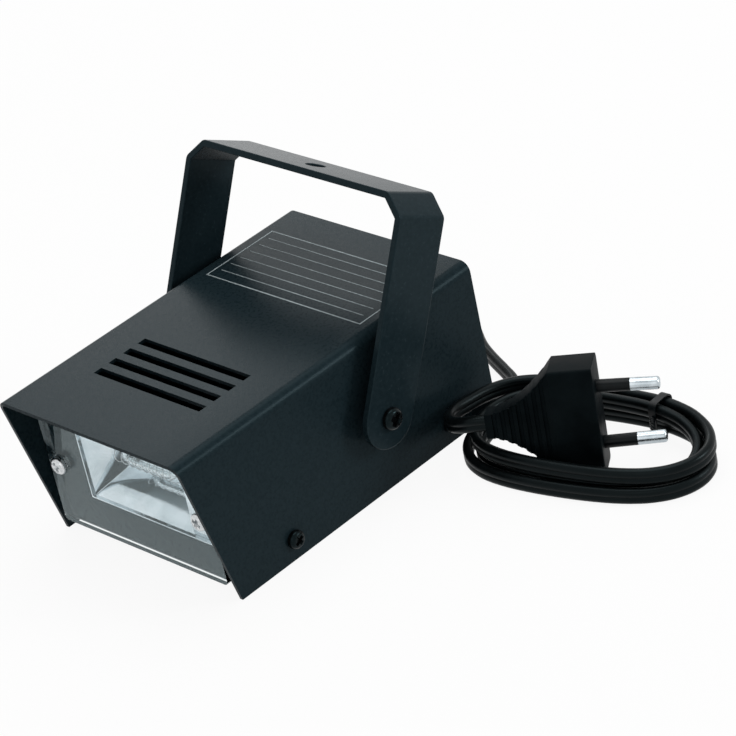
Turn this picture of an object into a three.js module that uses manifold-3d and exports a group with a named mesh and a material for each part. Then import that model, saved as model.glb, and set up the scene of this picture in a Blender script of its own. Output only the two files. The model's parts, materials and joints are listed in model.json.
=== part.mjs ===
// A mini strobe light: a folded sheet housing with a hood, a clear window, a polished
// reflector with a flash tube, a strap bracket that tilts, a speed knob and a flat mains cord.
// Millimetres, +Z up. The light shines towards -Y and the cord leaves at the rear.

import * as THREE from 'three';
import { mergeVertices } from 'three/addons/utils/BufferGeometryUtils.js';
import Module from 'manifold-3d';

const wasm = await Module();
wasm.setup();

// Clearances
const fit = 0.3; // between two pieces that seat on each other
const holeFit = 0.3; // round a screw, post or shaft in its hole

// Cover, a sheet folded over the top and both sides
const coverWidth = 80;
const coverLength = 127;
const coverHeight = 53.8;
const coverSheet = 1.2;
const coverBend = 3.5;
const hoodSlant = 11.8; // how far the front edges of the sides run back from top to floor

// Vent slots in the top
const ventCount = 4;
const ventLength = 47;
const ventWidth = 3.2;
const ventPitch = 6.2;
const ventFront = 25.4; // front edge of the first slot

// Chassis, a sheet folded up at the front and the rear, with a lip along both sides
const chassisSheet = 1.2;
const chassisBend = 2;
const chassisRise = 4; // its base above the cover's lower edges
const lipHeight = 9;
const panelFront = 13.5; // front face of the front panel, behind the hood's edge
const rearInset = 1; // the rear panel inside the cover's rear edge

// Window
const windowThick = 3;
const windowSideGap = 2.1; // to the cover's sides
const windowBottom = 4.9;
const windowTopGap = 2.3; // to the cover's top
const windowCorner = 1.5;
const windowScrewInset = 5.1; // from the window's sides
const windowScrewZ = 26.9;

// Opening in the front panel
const openingSideInset = 2.1; // from the window's right side
const openingBottom = 16.4;
const openingTopGap = 7.8; // to the cover's top

// Reflector, a pan with sloping walls and a flange round its mouth
const reflectorSheet = 0.8;
const reflectorDepth = 11;
const reflectorSlope = 6.4; // how far each wall runs in, from mouth to back
const mouthToScrew = 9; // from the side of its mouth to the window screw
const flangeSide = 3.4;
const flangeEdge = 3.5;

// Flash tube, bent back at both ends
const tubeRadius = 2.2;
const tubeBend = 4;
const tubeStandoff = 5; // from the reflector's back to the middle of the tube
const grommetNeck = 3.3;
const grommetFlange = 4.1;
const grommetRoom = 0.9; // from its flange to the reflector's wall
const grommetLip = 1.2;

// Socket behind the reflector
const socketThick = 6;
const socketOverhang = 5;
const socketWell = 3; // how deep the tube's legs go into it

// Circuit board and what stands on it
const boardThick = 1.6;
const boardSideGap = 7.5; // to the chassis sides
const boardFrontGap = 5.5; // to the reflector's back
const boardRearGap = 15.3; // to the rear panel
const boardRise = 3.6; // above the chassis base
const postInset = 5;
const postFrontInset = 9;
const postRadius = 3.2;
const postPin = 1.3;
const postHead = 2.3;
const capacitorRadius = 9;
const capacitorHeight = 32;
const capacitorX = 11.5;
const capacitorGap = 2; // to the resistor
const transformerRadius = 6.5;
const transformerHeight = 14;
const transformerSideInset = 9; // its middle from the board's side
const transformerFrontInset = 17.5;
const resistorWidth = 10;
const resistorHeight = 9;
const resistorSideGap = 2.8; // to the posts
const resistorRearInset = 2;

// Pan-head screws: head radius, head height and shank radius
const windowScrew = { head: 3, height: 1.8, shank: 1.5 };
const coverScrew = { head: 3, height: 2.1, shank: 1.45 };
const pivotScrew = { head: 3.6, height: 2.4, shank: 2 };
const coverScrewLength = 7;
const coverScrewZ = 7;
const coverScrewFrontInset = 21.2; // from the front panel
const coverScrewRearInset = 20.8; // from the cover's rear edge
const recessWidth = 0.7;
const nutThick = 2.4;
const windowNut = 3.2;
const pivotNut = 4;
const screwPastNut = 1.2;

// Bracket, a strap with cut corners and round arm ends
const strapWidth = 20;
const strapThick = 2.2;
const armGap = 4.5; // between the cover's side and an arm
const strapReach = 68.2; // from the pivot to the outer face of the top
const strapCorner = 6.4;
const hangingHole = 3.2;
const pivotY = 77.1;
const pivotZ = 27.9;
const tiltDegrees = 28; // towards the rear, as it stands
const spacerRadius = 5;

// Speed control on the rear panel
const knobInset = 24.5; // its axis from the chassis side
const knobZ = 31;
const knobRadius = 8.5;
const knobLength = 10.4;
const knobTop = 7.6;
const knobFlutes = 12;
const knobStandoff = 0.8; // from the nut
const potRadius = 8;
const potDepth = 8;
const bushingRadius = 4.6;
const bushingLength = 5.6;
const potShaft = 3;
const shaftInKnob = 6;
const bushingNut = 7;
const bushingNutThick = 2.2;

// Strain relief at the rear
const reliefInset = 14.5; // its axis from the other chassis side
const reliefZ = 11.8;
const reliefNeck = 4.2;
const reliefFlange = 5.8;
const reliefFlangeThick = 2;
const reliefLength = 16.7;
const reliefRoot = 4.8;
const reliefTip = 3.7;
const reliefBore = 2.95;
const reliefGrooves = 4;

// Flat twin cord, which lies on its narrow edge
const cordWidth = 5.4;
const cordThick = 3.3;
const cordEdge = 1.3; // where the flat sides end, from the middle
const cordLift = 0.05; // over the floor

// Loop of the cord: a rounded oval, wider at the end beside the housing
const loopBeside = 46.6; // its middle from the cover's side
const loopY = 119.5;
const loopTurn = 11; // degrees
const loopStraight = 19;
const loopRadius = 22.3;
const loopEgg = 0.12;
const loopSquareness = 2;
const loopTurns = 3; // in which the spiral runs in and out again
const coilTurns = 2.75; // where the cord leaves it for the plug
const loopSteps = 24; // in a turn
const loopPitch = 4.05; // between turns side by side
const loopRise = 5.9; // between layers

// Twist tie round the loop
const tieAngle = 74; // where it sits on the loop, in degrees
const tieWire = 0.9;
const tieBand = 1.8;
const tieSpread = 26; // degrees over which the loop rides up on it
const tieEndLength = 9;

// Plug, on its edge inside the loop
const plugAcross = 6.5; // its pin face from the loop's middle
const plugAlong = -0.3;
const plugYaw = 35; // degrees
const plugLean = 8;
const plugHalfWidth = 17.65;
const plugHalfThick = 6.85;
const plugLength = 35;
const plugBlock = 13.5;
const plugTailHalf = 3.9;
const plugEdge = 1;
const plugGroove = 0.6;
const plugRibs = 7;
const pinRadius = 2;
const pinLength = 19;
const pinSpacing = 18.6;
const pinTipSpacing = 17.6;
const pinCore = 1.2;
const sleeveWall = 0.5;
const sleeveLength = 10;
const pinSeat = 5;

// Values that follow
const innerHalf = coverWidth / 2 - coverSheet;
const chassisHalf = innerHalf - fit;
const baseTop = chassisRise + chassisSheet;
const panelTop = coverHeight - coverSheet - fit;
const panelBack = panelFront + chassisSheet;
const windowBack = panelFront - fit;
const windowFront = windowBack - windowThick;
const rearFace = coverLength - rearInset;
const rearInner = rearFace - chassisSheet;
const reflectorFront = panelBack + fit;
const reflectorBack = reflectorFront + reflectorDepth;
const windowHalf = innerHalf - windowSideGap;
const windowTop = coverHeight - coverSheet - windowTopGap;
const windowScrewX = windowHalf - windowScrewInset;
const reflectorMouth = windowScrewX - mouthToScrew;
const openingRight = windowHalf - openingSideInset;
const openingTop = coverHeight - openingTopGap;
const tubeHalf = reflectorMouth - reflectorSlope - grommetFlange - grommetRoom;
const tubeY = reflectorBack - tubeStandoff;
const tubeZ = (openingBottom + openingTop) / 2;
const boardBottom = baseTop + boardRise;
const boardTop = boardBottom + boardThick;
const onBoard = boardTop + fit;
const boardHalfWidth = chassisHalf - boardSideGap;
const boardFront = reflectorBack + boardFrontGap;
const boardRear = rearInner - boardRearGap;
const coverScrewFront = panelBack + coverScrewFrontInset;
const coverScrewRear = coverLength - coverScrewRearInset;
const armInner = coverWidth / 2 + armGap;
const strapHalfWidth = armInner + strapThick;
const knobX = chassisHalf - knobInset;
const reliefX = reliefInset - chassisHalf;
const knobInner = rearFace + fit + bushingNutThick + knobStandoff;
const knobOuter = knobInner + knobLength;
const reliefTipY = rearFace + fit + reliefFlangeThick + reliefLength;
const rearReach = Math.max(knobOuter, reliefTipY);
const cordZ = cordWidth / 2 + cordLift;
const loopX = coverWidth / 2 + loopBeside;
const plugX = loopX + plugAcross;
const plugY = loopY + plugAlong;

const up = new THREE.Vector3(0, 0, 1);
const right = new THREE.Vector3(1, 0, 0);

// Materials
function finish(name, color, roughness, metalness, extra = {}) {
  return new THREE.MeshStandardMaterial({ name, color, roughness, metalness, ...extra });
}
const powderCoat = finish('powder_coat', 0x16191b, 0.55, 0.1);
const blackScrew = finish('black_screw', 0x0b0b0c, 0.35, 0.7);
const brightScrew = finish('bright_screw', 0xc8cacb, 0.25, 1);
const polished = finish('polished_aluminium', 0xd8dde0, 0.12, 1);
const acrylic = finish('acrylic', 0xdfe8ea, 0.05, 0, { transparent: true, opacity: 0.3 });
const glass = finish('tube_glass', 0xe6eaec, 0.08, 0, { transparent: true, opacity: 0.5 });
const rubber = finish('rubber', 0x111112, 0.7, 0);
const cordSkin = finish('cord', 0x0d0e10, 0.45, 0);
const plugSkin = finish('plug', 0x0a0a0b, 0.5, 0);
const plastic = finish('black_plastic', 0x131314, 0.45, 0);
const ceramic = finish('ceramic', 0xe4e1d8, 0.6, 0);
const boardSkin = finish('board', 0x6b4a23, 0.6, 0);
const canSkin = finish('capacitor_can', 0x22303c, 0.4, 0.1);
const winding = finish('winding', 0x8a4a22, 0.4, 0.5);
const nylon = finish('nylon', 0xd9d8d0, 0.5, 0);

// Solids: from a geometry and back
function solid(geometry) {
  const bare = geometry.index ? geometry.toNonIndexed() : geometry.clone();
  bare.deleteAttribute('normal');
  bare.deleteAttribute('uv');
  const merged = mergeVertices(bare, 1e-4);
  const mesh = new wasm.Mesh({
    numProp: 3,
    vertProperties: new Float32Array(merged.attributes.position.array),
    triVerts: new Uint32Array(merged.index.array),
  });
  return new wasm.Manifold(mesh);
}

function surface(manifold) {
  const mesh = manifold.getMesh();
  const geometry = new THREE.BufferGeometry();
  geometry.setAttribute('position', new THREE.BufferAttribute(mesh.vertProperties, 3));
  geometry.setIndex(new THREE.BufferAttribute(mesh.triVerts, 1));
  geometry.computeVertexNormals();
  return geometry;
}

function cut(geometry, ...tools) {
  return surface(tools.reduce((body, tool) => body.subtract(solid(tool)), solid(geometry)));
}

function join(geometry, ...others) {
  return surface(others.reduce((body, other) => body.add(solid(other)), solid(geometry)));
}

function common(geometry, ...others) {
  return surface(others.reduce((body, other) => body.intersect(solid(other)), solid(geometry)));
}

// Shapes
function box(x0, x1, y0, y1, z0, z1) {
  const geometry = new THREE.BoxGeometry(x1 - x0, y1 - y0, z1 - z0);
  return geometry.translate((x0 + x1) / 2, (y0 + y1) / 2, (z0 + z1) / 2);
}

function shapeOf(points) {
  return new THREE.Shape(points.map(([x, y]) => new THREE.Vector2(x, y)));
}

function roundedRectangle(x0, x1, y0, y1, radius) {
  const shape = new THREE.Shape();
  shape.absarc(x1 - radius, y0 + radius, radius, -Math.PI / 2, 0);
  shape.absarc(x1 - radius, y1 - radius, radius, 0, Math.PI / 2);
  shape.absarc(x0 + radius, y1 - radius, radius, Math.PI / 2, Math.PI);
  shape.absarc(x0 + radius, y0 + radius, radius, Math.PI, 1.5 * Math.PI);
  return shape;
}

// A folded channel's section, open downwards: outer fold radius bend, wall sheet
function channelSection(halfWidth, height, sheet, bend) {
  const inner = bend - sheet;
  const shape = new THREE.Shape();
  shape.moveTo(halfWidth, 0);
  shape.lineTo(halfWidth, height - bend);
  shape.absarc(halfWidth - bend, height - bend, bend, 0, Math.PI / 2);
  shape.absarc(bend - halfWidth, height - bend, bend, Math.PI / 2, Math.PI);
  shape.lineTo(-halfWidth, 0);
  shape.lineTo(sheet - halfWidth, 0);
  shape.absarc(bend - halfWidth, height - bend, inner, Math.PI, Math.PI / 2, true);
  shape.absarc(halfWidth - bend, height - bend, inner, Math.PI / 2, 0, true);
  shape.lineTo(halfWidth - sheet, 0);
  return shape;
}

function prism(shape, depth, curveSegments = 5) {
  return new THREE.ExtrudeGeometry(shape, { depth, bevelEnabled: false, curveSegments });
}

// A prism of a shape drawn in X and Z, from y0 to y1
function prismAlongY(shape, y0, y1, curveSegments) {
  return prism(shape, y1 - y0, curveSegments).rotateX(Math.PI / 2).translate(0, y1, 0);
}

// A prism of a shape drawn in Y and Z, from x0 to x1
function prismAlongX(shape, x0, x1, curveSegments) {
  const turned = prism(shape, x1 - x0, curveSegments).rotateX(Math.PI / 2);
  return turned.rotateZ(Math.PI / 2).translate(x0, 0, 0);
}

// A turned piece from [radius, distance] points, standing on its axis at the origin
function turned(profile, segments) {
  const points = profile.map(([radius, distance]) => new THREE.Vector2(radius, distance));
  return new THREE.LatheGeometry(points, segments).rotateX(Math.PI / 2);
}

function rod(radius, z0, z1, segments = 16) {
  return turned([[0, z0], [radius, z0], [radius, z1], [0, z1]], segments);
}

// Puts a piece that stands on +Z so that it points along a direction
function pointed(geometry, direction) {
  const turn = new THREE.Quaternion().setFromUnitVectors(up, direction.clone().normalize());
  return geometry.applyQuaternion(turn);
}

// A closed skin over outlines that have the same number of points
function loft(rings) {
  const count = rings[0].length;
  const corners = rings.flat();
  const index = [];
  for (let ring = 0; ring < rings.length - 1; ring += 1) {
    for (let i = 0; i < count; i += 1) {
      const a = ring * count + i;
      const b = ring * count + ((i + 1) % count);
      index.push(a, b, b + count, a, b + count, a + count);
    }
  }
  const last = (rings.length - 1) * count;
  for (let i = 1; i < count - 1; i += 1) {
    index.push(0, i + 1, i, last, last + i, last + i + 1);
  }
  const geometry = new THREE.BufferGeometry().setFromPoints(corners);
  geometry.setIndex(index);
  return geometry.toNonIndexed();
}

// The assembly, measured from the hood's front edge and the floor
const strobe = new THREE.Group();
strobe.position.y = -rearReach / 2;

function add(parent, name, geometry, material) {
  const mesh = new THREE.Mesh(geometry, material);
  mesh.name = name;
  parent.add(mesh);
  return mesh;
}

// Screw with a domed head and a cross recess; the head's underside is at the origin
function panScrew({ head, height, shank }, length) {
  const profile = [[0, -length], [shank * 0.5, -length], [shank, shank - length], [shank, 0]];
  const dome = 4;
  profile.push([head, 0], [head, height * 0.35]);
  for (let i = 1; i <= dome; i += 1) {
    const angle = (i / dome) * (Math.PI / 2);
    profile.push([head * Math.cos(angle), height * (0.35 + 0.65 * Math.sin(angle))]);
  }
  profile.at(-1)[0] = 0;
  const arm = head * 0.55;
  const floor = height * 0.4;
  const along = box(-arm, arm, -recessWidth / 2, recessWidth / 2, floor, height * 2);
  const across = along.clone().rotateZ(Math.PI / 2);
  return cut(turned(profile, 16), along, across);
}

function hexNut(acrossCorners, bore, thick) {
  const ring = new THREE.Shape();
  for (let i = 0; i < 6; i += 1) {
    const angle = (i * Math.PI) / 3;
    const step = i === 0 ? 'moveTo' : 'lineTo';
    ring[step](acrossCorners * Math.cos(angle), acrossCorners * Math.sin(angle));
  }
  ring.holes.push(new THREE.Path().absarc(0, 0, bore, 0, 2 * Math.PI, true));
  return prism(ring, thick, 8);
}

// Cover
function makeCover() {
  const section = channelSection(coverWidth / 2, coverHeight, coverSheet, coverBend);
  const sheet = prismAlongY(section, 0, coverLength, 6);
  const past = coverSheet;
  const slant = shapeOf([
    [-past, -past],
    [hoodSlant * (1 + past / coverHeight), -past],
    [0, coverHeight],
    [-past, coverHeight],
  ]);
  const tools = [prismAlongX(slant, -coverWidth, coverWidth)];
  for (let i = 0; i < ventCount; i += 1) {
    const front = ventFront + i * ventPitch;
    const roof = coverHeight - coverBend;
    const vent = box(-ventLength / 2, ventLength / 2, front, front + ventWidth, roof, coverHeight + past);
    tools.push(vent);
  }
  const through = coverWidth / 2 + past;
  for (const y of [coverScrewFront, coverScrewRear]) {
    const hole = pointed(rod(coverScrew.shank + holeFit, -through, through), right);
    tools.push(hole.translate(0, y, coverScrewZ));
  }
  const pivotHole = pointed(rod(pivotScrew.shank + holeFit, -through, through), right);
  tools.push(pivotHole.translate(0, pivotY, pivotZ));
  return cut(sheet, ...tools);
}
add(strobe, 'cover', makeCover(), powderCoat);

// Chassis
function makeChassis() {
  const length = rearFace - panelFront;
  const height = panelTop - chassisRise;
  const section = channelSection(length / 2, height, chassisSheet, chassisBend);
  const channel = prismAlongX(section, -chassisHalf, chassisHalf, 4).rotateX(Math.PI);
  channel.translate(0, (rearFace + panelFront) / 2, panelTop);
  const lips = [-1, 1].map((side) => {
    const [x0, x1] = [side * chassisHalf, side * (chassisHalf - chassisSheet)].sort((a, b) => a - b);
    const y0 = panelBack + chassisBend;
    const y1 = rearInner - chassisBend;
    return box(x0, x1, y0, y1, chassisRise + chassisSheet / 2, chassisRise + lipHeight);
  });
  const past = chassisSheet;
  const opening = box(
    -reflectorMouth, openingRight, panelFront - past, panelBack + past, openingBottom, openingTop,
  );
  const tools = [opening];
  const screwHole = rod(windowScrew.shank + holeFit, -past, chassisSheet + past);
  pointed(screwHole, new THREE.Vector3(0, 1, 0));
  tools.push(screwHole.translate(-windowScrewX, panelFront, windowScrewZ));
  for (const y of [coverScrewFront, coverScrewRear]) {
    const hole = pointed(rod(coverScrew.shank + holeFit, -coverWidth, coverWidth), right);
    tools.push(hole.translate(0, y, coverScrewZ));
  }
  const bushingHole = rod(bushingRadius + holeFit, -past, chassisSheet + past, 24);
  pointed(bushingHole, new THREE.Vector3(0, 1, 0));
  tools.push(bushingHole.translate(knobX, rearInner, knobZ));
  const reliefHole = rod(reliefNeck + holeFit, -past, chassisSheet + past, 24);
  pointed(reliefHole, new THREE.Vector3(0, 1, 0));
  tools.push(reliefHole.translate(reliefX, rearInner, reliefZ));
  const corner = coverBend - coverSheet - fit;
  const underCover = new THREE.Shape();
  underCover.moveTo(-chassisHalf, 0);
  underCover.lineTo(chassisHalf, 0);
  underCover.absarc(chassisHalf - corner, panelTop - corner, corner, 0, Math.PI / 2);
  underCover.absarc(corner - chassisHalf, panelTop - corner, corner, Math.PI / 2, Math.PI);
  const room = prismAlongY(underCover, panelFront - past, rearFace + past);
  return cut(common(join(channel, ...lips), room), ...tools);
}
add(strobe, 'chassis', makeChassis(), powderCoat);

// Window and its screws
function makeWindow() {
  const pane = roundedRectangle(-windowHalf, windowHalf, windowBottom, windowTop, windowCorner);
  for (const x of [-windowScrewX, windowScrewX]) {
    const hole = new THREE.Path();
    hole.absarc(x, windowScrewZ, windowScrew.shank + holeFit, 0, 2 * Math.PI, true);
    pane.holes.push(hole);
  }
  return prismAlongY(pane, windowFront, windowBack, 8);
}
add(strobe, 'window', makeWindow(), acrylic);

const forward = new THREE.Vector3(0, -1, 0);
const flangeBack = reflectorFront + reflectorSheet;
for (const [side, x, seat] of [['left', -windowScrewX, panelBack], ['right', windowScrewX, flangeBack]]) {
  const underHead = windowFront - fit;
  const nutFront = seat + fit;
  const length = nutFront + nutThick + screwPastNut - underHead;
  const screw = pointed(panScrew(windowScrew, length), forward);
  screw.translate(x, underHead, windowScrewZ);
  add(strobe, `window_screw_${side}`, screw, brightScrew);
  const nut = pointed(hexNut(windowNut, windowScrew.shank + holeFit, nutThick), forward);
  nut.translate(x, nutFront + nutThick, windowScrewZ);
  add(strobe, `window_nut_${side}`, nut, brightScrew);
}

// Reflector
function rectangleRing(x0, x1, z0, z1, y) {
  return [
    new THREE.Vector3(x0, y, z0),
    new THREE.Vector3(x1, y, z0),
    new THREE.Vector3(x1, y, z1),
    new THREE.Vector3(x0, y, z1),
  ];
}

// A block that narrows from the mouth to the back, grown all round by a wall
function reflectorBlock(grow, y0, y1) {
  const ring = (y) => {
    const inset = ((y - reflectorFront) / reflectorDepth) * reflectorSlope - grow;
    return rectangleRing(
      inset - reflectorMouth, reflectorMouth - inset, openingBottom + inset, openingTop - inset, y,
    );
  };
  return loft([ring(y1), ring(y0)]);
}

function makeReflector() {
  const wall = reflectorSheet;
  const flange = box(
    -reflectorMouth - flangeSide, windowHalf, reflectorFront, flangeBack,
    openingBottom - flangeEdge, openingTop + flangeEdge,
  );
  const shell = join(flange, reflectorBlock(wall, reflectorFront + wall / 2, reflectorBack + wall));
  const hollow = reflectorBlock(0, reflectorFront - wall, reflectorBack);
  const screwHole = rod(windowScrew.shank + holeFit, -2 * wall, 2 * wall);
  pointed(screwHole, forward).translate(windowScrewX, reflectorFront, windowScrewZ);
  const legHoles = [-tubeHalf, tubeHalf].map((x) => {
    const hole = rod(grommetNeck + holeFit, -2 * wall, 2 * wall, 20);
    return pointed(hole, forward).translate(x, reflectorBack, tubeZ);
  });
  return cut(shell, hollow, screwHole, ...legHoles);
}
add(strobe, 'reflector', makeReflector(), polished);

// Flash tube
const socketFront = reflectorBack + reflectorSheet + grommetLip + 2 * fit;
const legEnd = socketFront + socketWell - fit;
function circle(radius, sides) {
  return shapeOf(Array.from({ length: sides }, (_, i) => {
    const angle = (2 * Math.PI * i) / sides;
    return [radius * Math.cos(angle), radius * Math.sin(angle)];
  }));
}

function makeTube() {
  const path = new THREE.CurvePath();
  const corner = tubeY + tubeBend;
  const at = (x, y) => new THREE.Vector3(x, y, tubeZ);
  const quarter = (side) => new THREE.QuadraticBezierCurve3(
    at(side * tubeHalf, corner), at(side * tubeHalf, tubeY), at(side * (tubeHalf - tubeBend), tubeY),
  );
  const back = quarter(1);
  const front = quarter(-1);
  path.add(new THREE.LineCurve3(at(-tubeHalf, legEnd), at(-tubeHalf, corner)));
  path.add(front);
  path.add(new THREE.LineCurve3(front.v2, back.v2));
  path.add(new THREE.QuadraticBezierCurve3(back.v2, back.v1, back.v0));
  path.add(new THREE.LineCurve3(at(tubeHalf, corner), at(tubeHalf, legEnd)));
  const steps = 34;
  return new THREE.ExtrudeGeometry(circle(tubeRadius, 10), { steps, extrudePath: path });
}
add(strobe, 'flash_tube', makeTube(), glass);

const backward = new THREE.Vector3(0, 1, 0);
for (const [side, x] of [['left', -tubeHalf], ['right', tubeHalf]]) {
  const bore = tubeRadius + fit;
  const half = reflectorSheet / 2;
  const profile = [
    [bore, -half - fit - grommetLip],
    [grommetFlange, -half - fit - grommetLip],
    [grommetFlange, -half - fit],
    [grommetNeck, -half - fit],
    [grommetNeck, half + fit],
    [grommetFlange, half + fit],
    [grommetFlange, half + fit + grommetLip],
    [bore, half + fit + grommetLip],
    [bore, -half - fit - grommetLip],
  ];
  const sleeve = pointed(turned(profile, 20), backward);
  add(strobe, `tube_sleeve_${side}`, sleeve.translate(x, reflectorBack + half, tubeZ), rubber);
}

function makeSocket() {
  const half = tubeHalf + socketOverhang;
  const block = box(-half, half, socketFront, socketFront + socketThick, onBoard, tubeZ + socketOverhang);
  const wells = [-tubeHalf, tubeHalf].map((x) => {
    const well = rod(tubeRadius + holeFit, -socketWell, socketWell, 16);
    return pointed(well, backward).translate(x, socketFront, tubeZ);
  });
  return cut(block, ...wells);
}
add(strobe, 'tube_socket', makeSocket(), ceramic);

// Circuit board on four snap posts
const postPlaces = [];
for (const x of [postInset - boardHalfWidth, boardHalfWidth - postInset]) {
  for (const y of [boardFront + postFrontInset, boardRear - postInset]) {
    postPlaces.push([x, y]);
  }
}
function makeBoard() {
  const slab = box(-boardHalfWidth, boardHalfWidth, boardFront, boardRear, boardBottom, boardTop);
  const holes = postPlaces.map(([x, y]) => {
    const hole = rod(postPin + holeFit, boardBottom - boardThick, boardTop + boardThick);
    return hole.translate(x, y, 0);
  });
  return cut(slab, ...holes);
}
add(strobe, 'circuit_board', makeBoard(), boardSkin);

postPlaces.forEach(([x, y], i) => {
  const profile = [
    [0, baseTop + fit],
    [postRadius, baseTop + fit],
    [postRadius, boardBottom - fit],
    [postPin, boardBottom - fit],
    [postPin, boardTop + fit],
    [postHead, boardTop + fit],
    [postPin * 0.7, boardTop + postHead],
    [0, boardTop + postHead],
  ];
  add(strobe, `board_post_${i + 1}`, turned(profile, 14).translate(x, y, 0), nylon);
});

// Electrical pieces on the board
function makeCapacitor() {
  const r = capacitorRadius;
  const h = capacitorHeight;
  const crimp = [[r, 0], [r, 2.5], [r - 0.8, 3.2], [r, 3.9]];
  return turned([[0, 0], ...crimp, [r, h - 1], [r - 1, h], [r - 2.5, h - 0.4], [0, h - 0.4]], 28);
}
const resistorRear = boardRear - resistorRearInset;
const resistorFront = resistorRear - resistorWidth;
const capacitorY = resistorFront - capacitorGap - capacitorRadius;
for (const [side, x] of [['left', -capacitorX], ['right', capacitorX]]) {
  const can = makeCapacitor().translate(x, capacitorY, onBoard);
  add(strobe, `storage_capacitor_${side}`, can, canSkin);
}

function makeTransformer() {
  const r = transformerRadius;
  const h = transformerHeight;
  const rim = 1.4;
  const wound = r - rim;
  const spool = [[0, 0], [r, 0], [r, rim], [wound, rim], [wound, h - rim], [r, h - rim], [r, h], [0, h]];
  return turned(spool, 24);
}
const transformer = makeTransformer();
transformer.translate(
  boardHalfWidth - transformerSideInset, boardFront + transformerFrontInset, onBoard,
);
add(strobe, 'trigger_transformer', transformer, winding);

const resistorHalf = boardHalfWidth - postInset - postRadius - resistorSideGap;
const resistor = box(
  -resistorHalf, resistorHalf, resistorFront, resistorRear, onBoard, onBoard + resistorHeight,
);
add(strobe, 'ballast_resistor', resistor, ceramic);

// Screws that hold the cover on the chassis
const sides = [['left', -1], ['right', 1]];
for (const [side, sign] of sides) {
  const outward = new THREE.Vector3(sign, 0, 0);
  for (const [place, y] of [['front', coverScrewFront], ['rear', coverScrewRear]]) {
    const screw = pointed(panScrew(coverScrew, coverScrewLength), outward);
    screw.translate(sign * (coverWidth / 2 + fit), y, coverScrewZ);
    add(strobe, `cover_screw_${side}_${place}`, screw, blackScrew);
  }
}

// Bracket, drawn upright round its pivot and then tilted
const tilt = new THREE.Group();
tilt.position.set(0, pivotY, pivotZ);
tilt.rotation.x = THREE.MathUtils.degToRad(-tiltDegrees);
strobe.add(tilt);

function makeBracket() {
  const foot = -strapWidth;
  const slope = strapThick * (2 - Math.SQRT2);
  const half = (halfWidth, top, corner) => [
    [halfWidth, foot],
    [halfWidth, top - corner],
    [halfWidth - corner, top],
  ];
  const mirrored = (points) => points.map(([x, z]) => [-x, z]).reverse();
  const outer = half(strapHalfWidth, strapReach, strapCorner);
  const inner = half(armInner, strapReach - strapThick, strapCorner - slope);
  const strap = shapeOf([
    ...outer, ...mirrored(outer), ...mirrored(inner).reverse(), ...inner.reverse(),
  ]);
  const across = strapWidth / 2;
  const band = prismAlongY(strap, -across, across);
  const profile = new THREE.Shape();
  profile.moveTo(across, strapReach + across);
  profile.lineTo(-across, strapReach + across);
  profile.absarc(0, 0, across, Math.PI, 2 * Math.PI);
  const past = strapHalfWidth + strapThick;
  const trimmed = common(band, prismAlongX(profile, -past, past, 12));
  const pivotHole = pointed(rod(pivotScrew.shank + holeFit, -past, past, 20), right);
  const hole = rod(hangingHole, strapReach - 2 * strapThick, strapReach + strapThick, 28);
  return cut(trimmed, pivotHole, hole);
}
add(tilt, 'bracket', makeBracket(), powderCoat);

// Pivot screws, spacers and nuts
for (const [side, sign] of sides) {
  const outward = new THREE.Vector3(sign, 0, 0);
  const underHead = strapHalfWidth + fit;
  const nutOuter = innerHalf - fit;
  const length = underHead - nutOuter + nutThick + screwPastNut;
  const screw = pointed(panScrew(pivotScrew, length), outward);
  screw.translate(sign * underHead, pivotY, pivotZ);
  add(strobe, `pivot_screw_${side}`, screw, blackScrew);
  const bore = pivotScrew.shank + holeFit;
  const spacerInner = coverWidth / 2 + fit;
  const spacerOuter = armInner - fit;
  const ring = [
    [bore, spacerInner],
    [spacerRadius, spacerInner],
    [spacerRadius, spacerOuter],
    [bore, spacerOuter],
    [bore, spacerInner],
  ];
  const spacer = pointed(turned(ring, 24), outward).translate(0, pivotY, pivotZ);
  add(strobe, `pivot_spacer_${side}`, spacer, rubber);
  const nut = pointed(hexNut(pivotNut, bore, nutThick), outward);
  nut.translate(sign * (nutOuter - nutThick), pivotY, pivotZ);
  add(strobe, `pivot_nut_${side}`, nut, brightScrew);
}

// Speed control: potentiometer, nut, shaft and knob
function alongRear(geometry, x, y, z) {
  return pointed(geometry, backward).translate(x, y, z);
}
const potFace = rearInner - fit;
const shaftBore = potShaft + fit;
const potProfile = [
  [0, 0],
  [potRadius, 0],
  [potRadius, potDepth],
  [bushingRadius, potDepth],
  [bushingRadius, potDepth + bushingLength],
  [shaftBore, potDepth + bushingLength],
  [shaftBore, potDepth * 0.5],
  [0, potDepth * 0.5],
];
const potBody = alongRear(turned(potProfile, 28), knobX, potFace - potDepth, knobZ);
add(strobe, 'potentiometer_body', potBody, brightScrew);

const potNut = alongRear(hexNut(bushingNut, bushingRadius + fit, bushingNutThick), knobX, rearFace + fit, knobZ);
add(strobe, 'potentiometer_nut', potNut, brightScrew);

const shaftStart = potFace - potDepth * 0.5 + fit;
const shaftEnd = knobInner + bushingLength / 2 + shaftInKnob;
const shaftLength = shaftEnd - shaftStart;
function makeShaft() {
  const flat = box(potShaft * 0.5, potShaft * 2, -potShaft, potShaft, shaftLength - shaftInKnob, shaftLength * 2);
  return cut(rod(potShaft, 0, shaftLength, 20), flat);
}
add(strobe, 'potentiometer_shaft', alongRear(makeShaft(), knobX, shaftStart, knobZ), brightScrew);

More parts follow.
